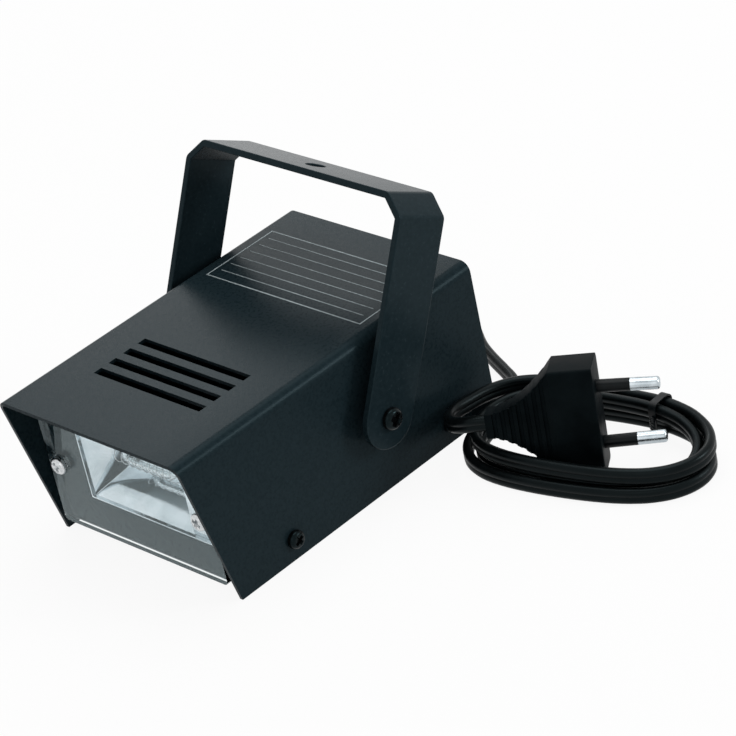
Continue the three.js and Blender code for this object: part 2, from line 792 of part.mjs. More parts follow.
function makeKnob() {
  const recess = bushingRadius + 2 * fit;
  const recessDepth = potFace + bushingLength + 2 * fit - knobInner;
  const bore = shaftEnd + fit - knobInner;
  const edge = 1;
  const profile = [
    [0, bore],
    [shaftBore, bore],
    [shaftBore, recessDepth],
    [recess, recessDepth],
    [recess, 0],
    [knobRadius, 0],
    [knobRadius, edge * 1.5],
    [knobRadius - edge * 0.6, edge * 2],
    [knobTop, knobLength - edge],
    [knobTop - edge, knobLength],
    [0, knobLength],
  ];
  const body = turned(profile, 32);
  const flutes = Array.from({ length: knobFlutes }, (_, i) => {
    const angle = (2 * Math.PI * i) / knobFlutes;
    const flute = rod(edge, edge * 2.2, knobLength * 2, 6);
    const reach = knobTop + edge * 0.55;
    return flute.translate(reach * Math.cos(angle), reach * Math.sin(angle), 0);
  });
  return cut(body, ...flutes);
}
add(strobe, 'speed_knob', alongRear(makeKnob(), knobX, knobInner, knobZ), plastic);

// Strain relief, a grooved taper held in the rear panel
function makeRelief() {
  const inside = -chassisSheet - fit;
  const seat = fit;
  const root = seat + reliefFlangeThick;
  const tip = root + reliefLength;
  const profile = [
    [reliefBore, inside - reliefFlangeThick],
    [reliefFlange, inside - reliefFlangeThick],
    [reliefFlange, inside],
    [reliefNeck, inside],
    [reliefNeck, seat],
    [reliefFlange, seat],
    [reliefFlange, root],
  ];
  const step = reliefLength / (reliefGrooves + 1);
  for (let i = 0; i <= reliefGrooves; i += 1) {
    const along = root + i * step;
    const radius = reliefRoot + ((reliefTip - reliefRoot) * i) / reliefGrooves;
    profile.push([radius, along], [radius, along + step * 0.62]);
    if (i < reliefGrooves) {
      profile.push([reliefBore + 0.4, along + step * 0.68], [reliefBore + 0.4, along + step * 0.94]);
    }
  }
  profile.push([reliefTip, tip], [reliefBore, tip], profile[0]);
  return turned(profile, 18);
}
add(strobe, 'strain_relief', alongRear(makeRelief(), reliefX, rearFace, reliefZ), rubber);

// A cord's route, which keeps the flat cord standing on its edge
class CordRoute extends THREE.CatmullRomCurve3 {
  getSpacedPoints() {
    return this.points;
  }

  computeFrenetFrames() {
    const last = this.points.length - 1;
    const frames = { tangents: [], normals: [], binormals: [] };
    this.points.forEach((point, i) => {
      const tangent = this.getTangent(i / last);
      const side = new THREE.Vector3().crossVectors(tangent, up).normalize();
      frames.tangents.push(tangent);
      frames.normals.push(new THREE.Vector3().crossVectors(side, tangent));
      frames.binormals.push(side);
    });
    return frames;
  }
}

const sixSides = shapeOf([
  [cordWidth / 2, 0],
  [cordEdge, cordThick / 2],
  [-cordEdge, cordThick / 2],
  [-cordWidth / 2, 0],
  [-cordEdge, -cordThick / 2],
  [cordEdge, -cordThick / 2],
]);

function makeCord(points) {
  const extrudePath = new CordRoute(points);
  return new THREE.ExtrudeGeometry(sixSides, { steps: points.length - 1, extrudePath });
}

// A point of the loop: turns counted from the end beside the housing, radius, height
function loopPoint(turn, radius, height) {
  const angle = Math.PI + turn * 2 * Math.PI;
  const squared = Math.tanh(loopSquareness * Math.cos(angle)) / Math.tanh(loopSquareness);
  const egg = loopEgg * loopRadius * Math.sin(angle) * Math.cos(angle);
  const local = new THREE.Vector3(
    loopStraight * squared + radius * Math.cos(angle), radius * Math.sin(angle) - egg, height,
  );
  local.applyAxisAngle(up, THREE.MathUtils.degToRad(loopTurn));
  return local.add(new THREE.Vector3(loopX, loopY, 0));
}

function smooth(t) {
  const s = Math.min(Math.max(t, 0), 1);
  return s * s * (3 - 2 * s);
}

// The loop spirals in on the floor, climbs in the half turn where it reverses, and out again
function coilPoint(turn) {
  const middle = loopTurns / 2;
  const inward = middle - Math.abs(turn - middle);
  const climbed = smooth((turn - middle + 0.25) * 2) * loopRise;
  const degrees = 180 + turn * 360;
  const away = Math.abs(((degrees - tieAngle + 180) % 360) - 180) / tieSpread;
  const lifted = (tieWire + 2 * fit) * Math.exp(-away * away);
  return loopPoint(turn, loopRadius - loopPitch * inward, cordZ + climbed + lifted);
}

const coilPoints = [];
for (let i = 0; i <= coilTurns * loopSteps; i += 1) {
  coilPoints.push(coilPoint(i / loopSteps));
}

// Straight runs at both ends of the coil
function level(vector) {
  return vector.setZ(0).normalize();
}
const coilIn = level(coilPoints[1].clone().sub(coilPoints[0]));
const coilOut = level(coilPoints.at(-1).clone().sub(coilPoints.at(-2)));
coilPoints.unshift(coilPoints[0].clone().addScaledVector(coilIn, -cordWidth));
coilPoints.push(coilPoints.at(-1).clone().addScaledVector(coilOut, cordWidth));
add(strobe, 'cord_coil', makeCord(coilPoints), cordSkin);

// Least distance of the coil's surface to itself, taken on points of its skin
function leastSelfGap(points) {
  const position = makeCord(points).attributes.position;
  const rings = points.map(() => []);
  const corner = new THREE.Vector3();
  for (let i = 0; i < position.count; i += 1) {
    corner.fromBufferAttribute(position, i);
    let nearest = 0;
    points.forEach((point, ring) => {
      if (point.distanceTo(corner) < points[nearest].distanceTo(corner)) nearest = ring;
    });
    rings[nearest].push(corner.clone());
  }
  let least = Infinity;
  for (let a = 0; a < rings.length; a += 1) {
    for (let b = a + loopSteps / 2; b < rings.length; b += 1) {
      for (const p of rings[a]) {
        for (const q of rings[b]) least = Math.min(least, p.distanceTo(q));
      }
    }
  }
  return least;
}
console.log(`cord_coil: least gap to itself ${leastSelfGap(coilPoints).toFixed(2)} mm`);

// Cord from the strain relief round the housing's corner to the coil
const coilStart = coilPoints[0];
const leadPoints = [
  [reliefX, reliefTipY + fit, reliefZ],
  [reliefX, reliefTipY + fit + cordWidth, reliefZ],
  [-22.6, 157.6, 11.2],
  [-18.2, 162.2, 9.9],
  [-12, 164, 8.2],
  [-5, 162.8, 6.6],
  [1.6, 159.2, 5],
  [8, 154.4, 3.8],
  [15, 149.4, 3.1],
  [23, 145.4, cordZ],
  [31, 141.8, cordZ],
  [38.6, 137.8, cordZ],
  [42.4, 131.8, cordZ],
].map(([x, y, z]) => new THREE.Vector3(x, y, z));
leadPoints.push(coilStart.clone().addScaledVector(coilIn, -cordWidth - fit));
leadPoints.push(coilStart.clone().addScaledVector(coilIn, -fit));
add(strobe, 'cord_lead', makeCord(leadPoints), cordSkin);

// Plug, drawn with its axis along +X, its width along Z, and its pin face at the origin
const plug = new THREE.Group();
const leanAngle = THREE.MathUtils.degToRad(plugLean);
const plugZ = plugHalfWidth * Math.cos(leanAngle) + plugHalfThick * Math.sin(leanAngle) + cordLift;
plug.position.set(plugX, plugY, plugZ);
plug.rotation.set(-leanAngle, 0, THREE.MathUtils.degToRad(plugYaw), 'ZYX');
strobe.add(plug);

// Half width and half thickness of the plug at a distance behind its pin face
function plugHalves(back) {
  const shoulder = Math.max(back - plugBlock, 0) / (plugLength - plugBlock);
  const waist = Math.pow(1 - shoulder, 1.9);
  return [
    plugTailHalf + (plugHalfWidth - plugTailHalf) * waist,
    plugTailHalf * 0.85 + (plugHalfThick - plugTailHalf * 0.85) * Math.pow(1 - shoulder, 1.3),
  ];
}

function plugRing(back, shrink = 0) {
  const [wide, thick] = plugHalves(back).map((half) => half - shrink);
  const bevel = Math.min(plugEdge, thick / 3);
  return [
    [thick, wide - bevel], [thick - bevel, wide], [bevel - thick, wide], [-thick, wide - bevel],
    [-thick, bevel - wide], [bevel - thick, -wide], [thick - bevel, -wide], [thick, bevel - wide],
  ].map(([y, z]) => new THREE.Vector3(-back, y, z));
}

function makePlug() {
  const rings = [plugRing(0, plugEdge / 2), plugRing(plugEdge / 2), plugRing(plugBlock)];
  const ribbed = plugLength - plugBlock;
  const pitch = ribbed / (plugRibs + 1);
  for (let i = 0; i < plugRibs; i += 1) {
    const start = plugBlock + (i + 0.6) * pitch;
    rings.push(plugRing(start), plugRing(start + pitch * 0.12, plugGroove));
    rings.push(plugRing(start + pitch * 0.42, plugGroove), plugRing(start + pitch * 0.54));
  }
  rings.push(plugRing(plugLength));
  const seats = [-1, 1].map((sign) => {
    const seat = pointed(rod(pinRadius + fit, -pinSeat - fit, 2, 16), right);
    return seat.translate(0, 0, (sign * pinSpacing) / 2);
  });
  return cut(loft(rings.reverse()), ...seats);
}
add(plug, 'plug_body', makePlug(), plugSkin);

const pinLean = Math.asin((pinSpacing - pinTipSpacing) / 2 / pinLength);
for (const [place, sign] of [['lower', -1], ['upper', 1]]) {
  const holder = new THREE.Group();
  holder.position.z = (sign * pinSpacing) / 2;
  holder.rotation.y = sign * pinLean;
  plug.add(holder);
  const round = pinRadius * 0.4;
  const pin = [
    [0, -pinSeat],
    [pinCore, -pinSeat],
    [pinCore, sleeveLength + fit],
    [pinRadius, sleeveLength + fit],
    [pinRadius, pinLength - round],
    [pinRadius - round * 0.3, pinLength - round * 0.3],
    [pinRadius - round, pinLength],
    [0, pinLength],
  ];
  add(holder, `plug_pin_${place}`, pointed(turned(pin, 16), right), brightScrew);
  const inner = pinRadius - sleeveWall;
  const sleeve = [
    [inner, -pinSeat],
    [pinRadius, -pinSeat],
    [pinRadius, sleeveLength],
    [inner, sleeveLength],
    [inner, -pinSeat],
  ];
  add(holder, `plug_sleeve_${place}`, pointed(turned(sleeve, 16), right), plugSkin);
}

// Cord from the coil's upper layer, rising past the loop's end into the plug
const plugAxis = right.clone().applyAxisAngle(up, THREE.MathUtils.degToRad(plugYaw));
const plugEnd = new THREE.Vector3(plugX, plugY, plugZ).addScaledVector(plugAxis, -plugLength);
const coilEnd = coilPoints.at(-1);
const tailRoute = [
  [71, 138.9, 9.8],
  [65.2, 137.3, 10.1],
  [59.4, 135.2, 10.5],
  [54.1, 132.1, 11],
  [49.8, 127.9, 11.5],
  [46.9, 122.4, 12],
  [45.5, 116.7, 12.5],
  [45, 110.8, 12.9],
  [45.1, 105.4, 13.5],
  [46.8, 100.7, 14.2],
  [50, 97.3, 15.3],
  [54, 95.6, 16.6],
  [58.2, 95.7, 17.8],
].map(([x, y, z]) => new THREE.Vector3(x, y, z));
const tailPoints = [
  coilEnd.clone().addScaledVector(coilOut, fit),
  ...tailRoute,
  plugEnd.clone().addScaledVector(plugAxis, -fit - cordThick),
  plugEnd.clone().addScaledVector(plugAxis, -fit),
];
add(strobe, 'cord_tail', makeCord(tailPoints), cordSkin);

// Twist tie: a band round the bundle and its twisted end
function makeTie() {
  const turn = (tieAngle - 180 + 720) / 360;
  const strands = [turn - 1, turn, turn + 1].filter((t) => t >= 0 && t <= coilTurns);
  const places = strands.map((t) => coilPoint(t));
  const ahead = coilPoint(strands[0] + 0.01).sub(coilPoint(strands[0]));
  const along = level(ahead);
  const outward = new THREE.Vector3().crossVectors(along, up);
  const across = places.map((place) => place.clone().sub(places[0]).dot(outward));
  const inside = {
    x0: Math.min(...across) - cordThick / 2 - 2 * fit,
    x1: Math.max(...across) + cordThick / 2 + 2 * fit,
    y0: Math.min(...places.map((p) => p.z)) - cordWidth / 2 - fit,
    y1: Math.max(...places.map((p) => p.z)) + cordWidth / 2 + 2 * fit,
  };
  const wire = tieWire;
  const corner = 2.2;
  const ring = roundedRectangle(
    inside.x0 - wire, inside.x1 + wire, inside.y0 - wire, inside.y1 + wire, corner + wire,
  );
  ring.holes.push(roundedRectangle(inside.x0, inside.x1, inside.y0, inside.y1, corner));
  const band = prism(ring, tieBand, 4).translate(0, 0, -tieBand / 2);
  const end = new THREE.CatmullRomCurve3([
    new THREE.Vector3(inside.x0 - wire * 0.6, inside.y1 - corner * 2, 0),
    new THREE.Vector3(inside.x0 - wire * 2, inside.y1 - corner * 2.4, wire),
    new THREE.Vector3(inside.x0 - tieEndLength * 0.45, inside.y1 - corner * 3, wire * 3),
    new THREE.Vector3(inside.x0 - tieEndLength * 0.6, inside.y1 - corner * 4, wire * 5),
  ]);
  const twisted = new THREE.ExtrudeGeometry(circle(wire, 6), { steps: 10, extrudePath: end });
  const tie = join(band, twisted);
  const frame = new THREE.Matrix4().makeBasis(outward, up, new THREE.Vector3().crossVectors(outward, up));
  tie.applyMatrix4(frame);
  return tie.translate(places[0].x, places[0].y, 0);
}
add(strobe, 'cord_tie', makeTie(), rubber);

const strobeLight = new THREE.Group();
strobeLight.add(strobe);
export default strobeLight;
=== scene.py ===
import json
import math

import bmesh
import bpy
from mathutils import Matrix, Vector


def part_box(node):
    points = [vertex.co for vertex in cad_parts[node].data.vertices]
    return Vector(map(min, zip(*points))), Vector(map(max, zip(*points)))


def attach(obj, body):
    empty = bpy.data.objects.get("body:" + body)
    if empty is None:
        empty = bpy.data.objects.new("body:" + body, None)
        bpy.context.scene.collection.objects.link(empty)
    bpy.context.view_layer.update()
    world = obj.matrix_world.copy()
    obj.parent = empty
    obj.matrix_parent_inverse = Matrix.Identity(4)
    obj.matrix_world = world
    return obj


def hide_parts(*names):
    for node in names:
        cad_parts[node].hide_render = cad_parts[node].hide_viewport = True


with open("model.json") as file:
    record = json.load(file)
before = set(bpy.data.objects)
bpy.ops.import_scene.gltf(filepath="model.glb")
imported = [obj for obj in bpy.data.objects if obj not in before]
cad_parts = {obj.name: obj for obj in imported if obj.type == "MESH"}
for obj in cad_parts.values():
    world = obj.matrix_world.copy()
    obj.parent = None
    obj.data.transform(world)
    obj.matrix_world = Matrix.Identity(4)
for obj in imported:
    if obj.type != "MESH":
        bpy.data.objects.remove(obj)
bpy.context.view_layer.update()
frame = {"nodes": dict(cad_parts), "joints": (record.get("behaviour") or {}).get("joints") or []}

mm = 0.001


# Camera
# It looks down at the light from its front right side, through a long lens, and is rolled a
# little to the left.
camera_place = Vector((0.66558, -0.52355, 0.52672))
camera_azimuth = math.radians(49.76)
camera_elevation = math.radians(30.54)
camera_roll = math.radians(-12.39)
camera_sensor = 36
camera_reach = 3167 / 736  # focal length in picture widths

camera = bpy.data.objects.new("camera", bpy.data.cameras.new("camera"))
camera.data.sensor_width = camera_sensor
camera.data.lens = camera_sensor * camera_reach
camera.matrix_world = (
    Matrix.Translation(camera_place)
    @ Matrix.Rotation(camera_azimuth, 4, "Z")
    @ Matrix.Rotation(math.pi / 2 - camera_elevation, 4, "X")
    @ Matrix.Rotation(camera_roll, 4, "Z")
)
bpy.context.scene.collection.objects.link(camera)
bpy.context.scene.camera = camera
bpy.context.scene.view_settings.view_transform = "Standard"


# Studio
# A white sweep, a large soft lamp overhead, and weak ones in front, on the right and behind.
sweep_light = 0.34  # what the room gives to the object
floor_half = 3.0
floor_white = 0.86
floor_glow = 0.92  # share of the floor that shows as plain white


def set_inputs(tree, node, inputs):
    """Gives each input its value, or the other node's output that it follows."""
    for name, value in inputs.items():
        if isinstance(value, bpy.types.NodeSocket):
            tree.links.new(value, node.inputs[name])
        else:
            node.inputs[name].default_value = value


def add_node(tree, kind, inputs):
    node = tree.nodes.new(kind)
    set_inputs(tree, node, inputs)
    return node


def spread(tree, pattern, span, ends):
    """Turns a span of a pattern into the values between two ends."""
    node = add_node(tree, "ShaderNodeMapRange", {
        "Value": pattern, "From Min": span[0], "From Max": span[1],
        "To Min": ends[0], "To Max": ends[1],
    })
    return node.outputs["Result"]


def seen_directly(tree):
    """1 for what the camera, a mirror or a window shows, and 0 for light that falls on things."""
    path = tree.nodes.new("ShaderNodeLightPath")
    total = path.outputs["Is Camera Ray"]
    for kind in ("Is Glossy Ray", "Is Transmission Ray"):
        larger = add_node(tree, "ShaderNodeMath", {0: total, 1: path.outputs[kind]})
        larger.operation = "MAXIMUM"
        total = larger.outputs[0]
    return total


def make_room():
    world = bpy.data.worlds.new("room")
    world.use_nodes = True
    tree = world.node_tree
    set_inputs(tree, tree.nodes["Background"], {
        "Color": (1, 1, 1, 1),
        "Strength": spread(tree, seen_directly(tree), (0, 1), (sweep_light, 1)),
    })
    bpy.context.scene.world = world


def make_floor():
    bm = bmesh.new()
    bmesh.ops.create_grid(bm, x_segments=1, y_segments=1, size=floor_half)
    mesh = bpy.data.meshes.new("floor")
    bm.to_mesh(mesh)
    bm.free()
    material = bpy.data.materials.new("white_sweep")
    material.use_nodes = True
    tree = material.node_tree
    tree.nodes.remove(tree.nodes["Principled BSDF"])
    white = (floor_white, floor_white, floor_white, 1)
    paper = add_node(tree, "ShaderNodeBsdfDiffuse", {"Color": white})
    glow = tree.nodes.new("ShaderNodeEmission")
    share = add_node(tree, "ShaderNodeMath", {0: seen_directly(tree), 1: floor_glow})
    share.operation = "MULTIPLY"
    mix = add_node(tree, "ShaderNodeMixShader", {
        "Fac": share.outputs[0], 1: paper.outputs[0], 2: glow.outputs[0],
    })
    set_inputs(tree, tree.nodes["Material Output"], {"Surface": mix.outputs[0]})
    mesh.materials.append(material)
    floor = bpy.data.objects.new("floor", mesh)
    bpy.context.scene.collection.objects.link(floor)


def add_lamp(name, place, aim, size, watts):
    lamp = bpy.data.objects.new(name, bpy.data.lights.new(name, "AREA"))
    lamp.data.shape = "DISK"
    lamp.data.size = size
    lamp.data.energy = watts
    lamp.location = place
    lamp.rotation_euler = (Vector(aim) - Vector(place)).to_track_quat("-Z", "Y").to_euler()
    bpy.context.scene.collection.objects.link(lamp)


make_room()
make_floor()
add_lamp("overhead_lamp", place=(-0.1, 0.2, 1.3), aim=(0, 0, 0), size=1.2, watts=10)
add_lamp("front_lamp", place=(0.6, -1.1, 0.7), aim=(0, 0, 0.03), size=0.8, watts=1)
add_lamp("right_lamp", place=(1.1, 0.8, 0.5), aim=(0, 0.05, 0.03), size=0.5, watts=7)
add_lamp("rear_lamp", place=(-0.95, 0.7, 0.75), aim=(0, -0.05, 0.05), size=0.5, watts=1.6)


# Mains cord
# Two cores side by side in one black vinyl skin with a groove along both flat sides. It lies on
# its narrow edge: out of the strain relief, round the housing's corner, through a loop of nearly
# three turns, and up into the plug.
cover_low, cover_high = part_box("cover")
front_edge = cover_low.y
relief_low, relief_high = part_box("strain_relief")
relief_x = (relief_low.x + relief_high.x) / 2
relief_z = (relief_low.z + relief_high.z) / 2
cord_width = 5.4 * mm
cord_thick = 3.3 * mm
floor_gap = 0.05 * mm
cord_rest = cord_width / 2 + floor_gap
cord_in_relief = 5 * mm
cord_in_plug = 2 * mm
cord_room = 0.3 * mm
loop_middle = Vector((cover_high.x + 46.6 * mm, front_edge + 119.5 * mm, 0))
loop_turn = math.radians(11)
loop_straight = 19 * mm
loop_radius = 22.3 * mm
loop_egg = 0.12
loop_squareness = 2
loop_turns = 3
coil_turns = 2.75
loop_steps = 24
loop_pitch = 4.05 * mm
loop_rise = 5.9 * mm
loop_climb = 0.5  # of a turn, in which it rises
tie_angle = 74  # degrees round the loop
tie_wire = 0.9 * mm
tie_spread = 26  # degrees, over which the tie's wire lifts the cord
plug_across = 6.5 * mm
plug_along = -0.3 * mm
plug_yaw = math.radians(35)
plug_lean = math.radians(8)
plug_half_width = 17.65 * mm
plug_half_thick = 6.85 * mm
plug_length = 35 * mm
cord_lobe = cord_thick / 2
lobe_steps = 9
route_steps = 4  # rings between two points of the route
cord_black = (0.0008, 0.0012, 0.0014)
cord_grey = (0.0022, 0.0032, 0.0036)
vinyl_sheen = (0.72, 0.95, 1)
tone_span = (0.35, 0.65)  # of a pattern, in which one tone turns into the other
shine_span = (0.3, 0.7)
patch_detail = 6
grain_detail = 3

plug_rise = plug_half_width * math.cos(plug_lean) + plug_half_thick * math.sin(plug_lean)
plug_place = loop_middle + Vector((plug_across, plug_along, plug_rise + floor_gap))
plug_axis = Vector((math.cos(plug_yaw), math.sin(plug_yaw), 0))
plug_end = plug_place - plug_axis * plug_length


def smooth(t):
    s = min(max(t, 0), 1)
    return s * s * (3 - 2 * s)


def loop_point(turn, radius, height):
    angle = math.pi + turn * 2 * math.pi
    squared = math.tanh(loop_squareness * math.cos(angle)) / math.tanh(loop_squareness)
    egg = loop_egg * loop_radius * math.sin(angle) * math.cos(angle)
    across = loop_straight * squared + radius * math.cos(angle)
    along = radius * math.sin(angle) - egg
    return Matrix.Rotation(loop_turn, 4, "Z") @ Vector((across, along, height)) + loop_middle


def coil_point(turn):
    degrees = 180 + turn * 360
    middle = loop_turns / 2
    inward = middle - abs(turn - middle)
    climbed = smooth((turn - middle + loop_climb / 2) / loop_climb) * loop_rise
    away = abs((degrees - tie_angle + 180) % 360 - 180) / tie_spread
    lifted = (tie_wire + 2 * cord_room) * math.exp(-away * away)
    return loop_point(turn, loop_radius - loop_pitch * inward, cord_rest + climbed + lifted)


def level(vector):
    return Vector((vector.x, vector.y, 0)).normalized()


def shop(points):
    """Points in millimetres from the hood's front edge and the floor."""
    return [Vector((x * mm, y * mm + front_edge, z * mm)) for x, y, z in points]


def cord_route():
    coil = [coil_point(i / loop_steps) for i in range(int(coil_turns * loop_steps) + 1)]
    coil_in = level(coil[1] - coil[0])
    coil_out = level(coil[-1] - coil[-2])
    coil.insert(0, coil[0] - coil_in * cord_width)
    coil.append(coil[-1] + coil_out * cord_width)
    relief_tip = Vector((relief_x, relief_high.y, relief_z))
    backward = Vector((0, 1, 0))
    lead = [relief_tip - backward * cord_in_relief, relief_tip, relief_tip + backward * cord_width]
    lead += shop([
        (-22.6, 157.6, 11.2), (-18.2, 162.2, 9.9), (-12, 164, 8.2), (-5, 162.8, 6.6),
        (1.6, 159.2, 5), (8, 154.4, 3.8), (15, 149.4, 3.1), (23, 145.4, 2.75),
        (31, 141.8, 2.75), (38.6, 137.8, 2.75), (42.4, 131.8, 2.75),
    ])
    lead.append(coil[0] - coil_in * (cord_width + cord_room))
    tail = shop([
        (71, 138.9, 9.8), (65.2, 137.3, 10.1), (59.4, 135.2, 10.5), (54.1, 132.1, 11),
        (49.8, 127.9, 11.5), (46.9, 122.4, 12), (45.5, 116.7, 12.5), (45, 110.8, 12.9),
        (45.1, 105.4, 13.5), (46.8, 100.7, 14.2), (50, 97.3, 15.3), (54, 95.6, 16.6),
        (58.2, 95.7, 17.8),
    ])
    tail.append(plug_end - plug_axis * cord_thick)
    tail.append(plug_end + plug_axis * cord_in_plug)
    return lead + coil + tail


def curve_through(points, steps):
    """A smooth curve through the points, with the same number of steps between each two."""
    line = []
    for i in range(len(points) - 1):
        before = points[max(i - 1, 0)]
        start = points[i]
        end = points[i + 1]
        after = points[min(i + 2, len(points) - 1)]
        reach = (end - start).length
        lead_in = (end - before).normalized() * reach
        lead_out = (after - start).normalized() * reach
        for step in range(steps):
            t = step / steps
            line.append(
                start * (2 * t**3 - 3 * t**2 + 1)
                + lead_in * (t**3 - 2 * t**2 + t)
                + end * (3 * t**2 - 2 * t**3)
                + lead_out * (t**3 - t**2)
            )
    line.append(points[-1])
    return line


def frames_along(line):
    """One matrix for each point: X across the line and level, Y upright, Z along it."""
    frames = []
    for i, point in enumerate(line):
        along = (line[min(i + 1, len(line) - 1)] - line[max(i - 1, 0)]).normalized()
        across = along.cross(Vector((0, 0, 1))).normalized()
        upright = across.cross(along)
        aim = Matrix((across, upright, along)).transposed().to_4x4()
        frames.append(Matrix.Translation(point) @ aim)
    return frames


def new_verts(made):
    return [item for item in made["geom"] if isinstance(item, bmesh.types.BMVert)]


def next_ring(bm, edges):
    """Extrudes a ring of edges, and gives the new ring's vertices and its edges."""
    made = bmesh.ops.extrude_edge_only(bm, edges=edges)
    verts = new_verts(made)
    new = set(verts)
    edges = [
        item for item in made["geom"]
        if isinstance(item, bmesh.types.BMEdge) and new.issuperset(item.verts)
    ]
    return verts, edges


def swept(outline, frames):
    """A closed skin: the outline, drawn in X and Y, carried from frame to frame."""
    bm = bmesh.new()
    ring = [bm.verts.new(frames[0] @ Vector((x, y, 0))) for x, y in outline]
    edges = [bm.edges.new((ring[i - 1], ring[i])) for i in range(len(ring))]
    bmesh.ops.contextual_create(bm, geom=edges)
    for before, after in zip(frames, frames[1:]):
        ring, edges = next_ring(bm, edges)
        bmesh.ops.transform(bm, matrix=after @ before.inverted(), verts=ring)
    bmesh.ops.contextual_create(bm, geom=edges)
    bmesh.ops.recalc_face_normals(bm, faces=bm.faces)
    return bm


def noise(tree, place, size, detail):
    """An uneven pattern with spots of this size."""
    node = add_node(tree, "ShaderNodeTexNoise", {
        "Vector": place, "Scale": 1 / size, "Detail": detail,
    })
    return node.outputs["Fac"]


def finish(name, dark, light, roughness, patch, grain, depth, metallic=0.0, specular=0.5,
           stretch=(1, 1, 1), tint=(1, 1, 1)):
    """A surface with patches of two tones and of two roughnesses, and a fine grain in relief."""
    material = bpy.data.materials.new(name)
    material.use_nodes = True
    tree = material.node_tree
    place = tree.nodes.new("ShaderNodeTexCoord").outputs["Object"]
    mapping = add_node(tree, "ShaderNodeMapping", {"Vector": place, "Scale": stretch})
    patches = noise(tree, mapping.outputs["Vector"], patch, patch_detail)
    tones = add_node(tree, "ShaderNodeValToRGB", {"Fac": patches})
    for element, tone, position in zip(tones.color_ramp.elements, (dark, light), tone_span):
        element.color = (*tone, 1)
        element.position = position
    grains = noise(tree, mapping.outputs["Vector"], grain, grain_detail)
    bump = add_node(tree, "ShaderNodeBump", {"Distance": depth, "Height": grains})
    set_inputs(tree, tree.nodes["Principled BSDF"], {
        "Base Color": tones.outputs["Color"],
        "Metallic": metallic,
        "Roughness": spread(tree, patches, shine_span, roughness),
        "Specular IOR Level": specular,
        "Specular Tint": (*tint, 1),
        "Normal": bump.outputs["Normal"],
    })
    return material


def place_piece(name, bm, material, body, slot, *replaced, crease=35):
    """Makes a piece that rides on a body, with the given material, and may replace nodes. The slot
    is not used.
    """
    mesh = bpy.data.meshes.new(name)
    bm.to_mesh(mesh)
    bm.free()
    mesh.shade_smooth()
    mesh.set_sharp_from_angle(angle=math.radians(crease))
    mesh.materials.append(material)
    piece = bpy.data.objects.new(name, mesh)
    bpy.context.scene.collection.objects.link(piece)
    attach(piece, body)
    if replaced:
        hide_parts(*replaced)
    return piece


def cord_outline():
    offset = (cord_width - cord_thick) / 2
    groove = math.asin(offset / cord_lobe)
    outline = []
    for side in (1, -1):
        for step in range(lobe_steps):
            angle = (math.pi + 2 * groove) * step / lobe_steps - groove
            x = side * cord_lobe * math.cos(angle)
            y = side * (offset + cord_lobe * math.sin(angle))
            outline.append((x, y))
    return outline


cord_line = curve_through(cord_route(), route_steps)
cord_skin = finish(
    "cord_vinyl", cord_black, cord_grey, roughness=(0.26, 0.4), patch=9 * mm, grain=0.8 * mm,
    depth=0.02 * mm, specular=0.11, tint=vinyl_sheen,
)
mains_cord = place_piece(
    "mains_cord", swept(cord_outline(), frames_along(cord_line)), cord_skin, "housing",
    "cord_skin", "cord_lead", "cord_coil", "cord_tail", crease=50,
)


# Plug
# A two-pin plug moulded in one piece onto the cord: a straight block for the pins, then a
# ribbed waist that bends with the cord. It leans on the loop.
plug_block = 13.5 * mm
plug_tail_half = 3.9 * mm
plug_edge = 1 * mm
plug_groove = 0.6 * mm
plug_ribs = 7
plug_first_groove = 0.6  # of the distance from rib to rib
groove_form = [(0, 0), (0.08, 0.7), (0.16, 1), (0.38, 1), (0.46, 0.7), (0.54, 0)]  # along, deep
rim_form = [(0.12, 0.2), (0.4, 0)]  # back and inward, of the edge round the pins' face
corner_steps = 6
plug_flatness = 0.85  # of its tail
waist_side = 1.9  # how fast its sides draw in, as a power
waist_top = 1.3
plug_black = (0.0012, 0.0022, 0.0028)
plug_grey = (0.0034, 0.0056, 0.0066)
plug_turned = (
    Matrix.Translation(plug_place)
    @ Matrix.Rotation(plug_yaw, 4, "Z")
    @ Matrix.Rotation(-plug_lean, 4, "X")
)


def plug_halves(back):
    shoulder = max(back - plug_block, 0) / (plug_length - plug_block)
    wide = plug_tail_half + (plug_half_width - plug_tail_half) * (1 - shoulder) ** waist_side
    tail_thick = plug_tail_half * plug_flatness
    thick = tail_thick + (plug_half_thick - tail_thick) * (1 - shoulder) ** waist_top
    return wide, thick


def plug_stations():
    """Distance behind the pin face, and how far the skin draws in there."""
    stations = [(back * plug_edge, inward * plug_edge) for back, inward in rim_form]
    stations.append((plug_block, 0))
    pitch = (plug_length - plug_block) / (plug_ribs + 1)
    for rib in range(plug_ribs):
        start = plug_block + (rib + plug_first_groove) * pitch
        stations += [(start + along * pitch, deep * plug_groove) for along, deep in groove_form]
    stations.append((plug_length, 0))
    return stations


def round_corners(bm, radius, steps):
    bmesh.ops.bevel(
        bm, geom=bm.verts, offset=radius, affect="VERTICES", segments=steps, profile=0.5,
        material=-1,
    )


def moved(bm, matrix):
    bmesh.ops.transform(bm, matrix=matrix, verts=bm.verts)
    return bm


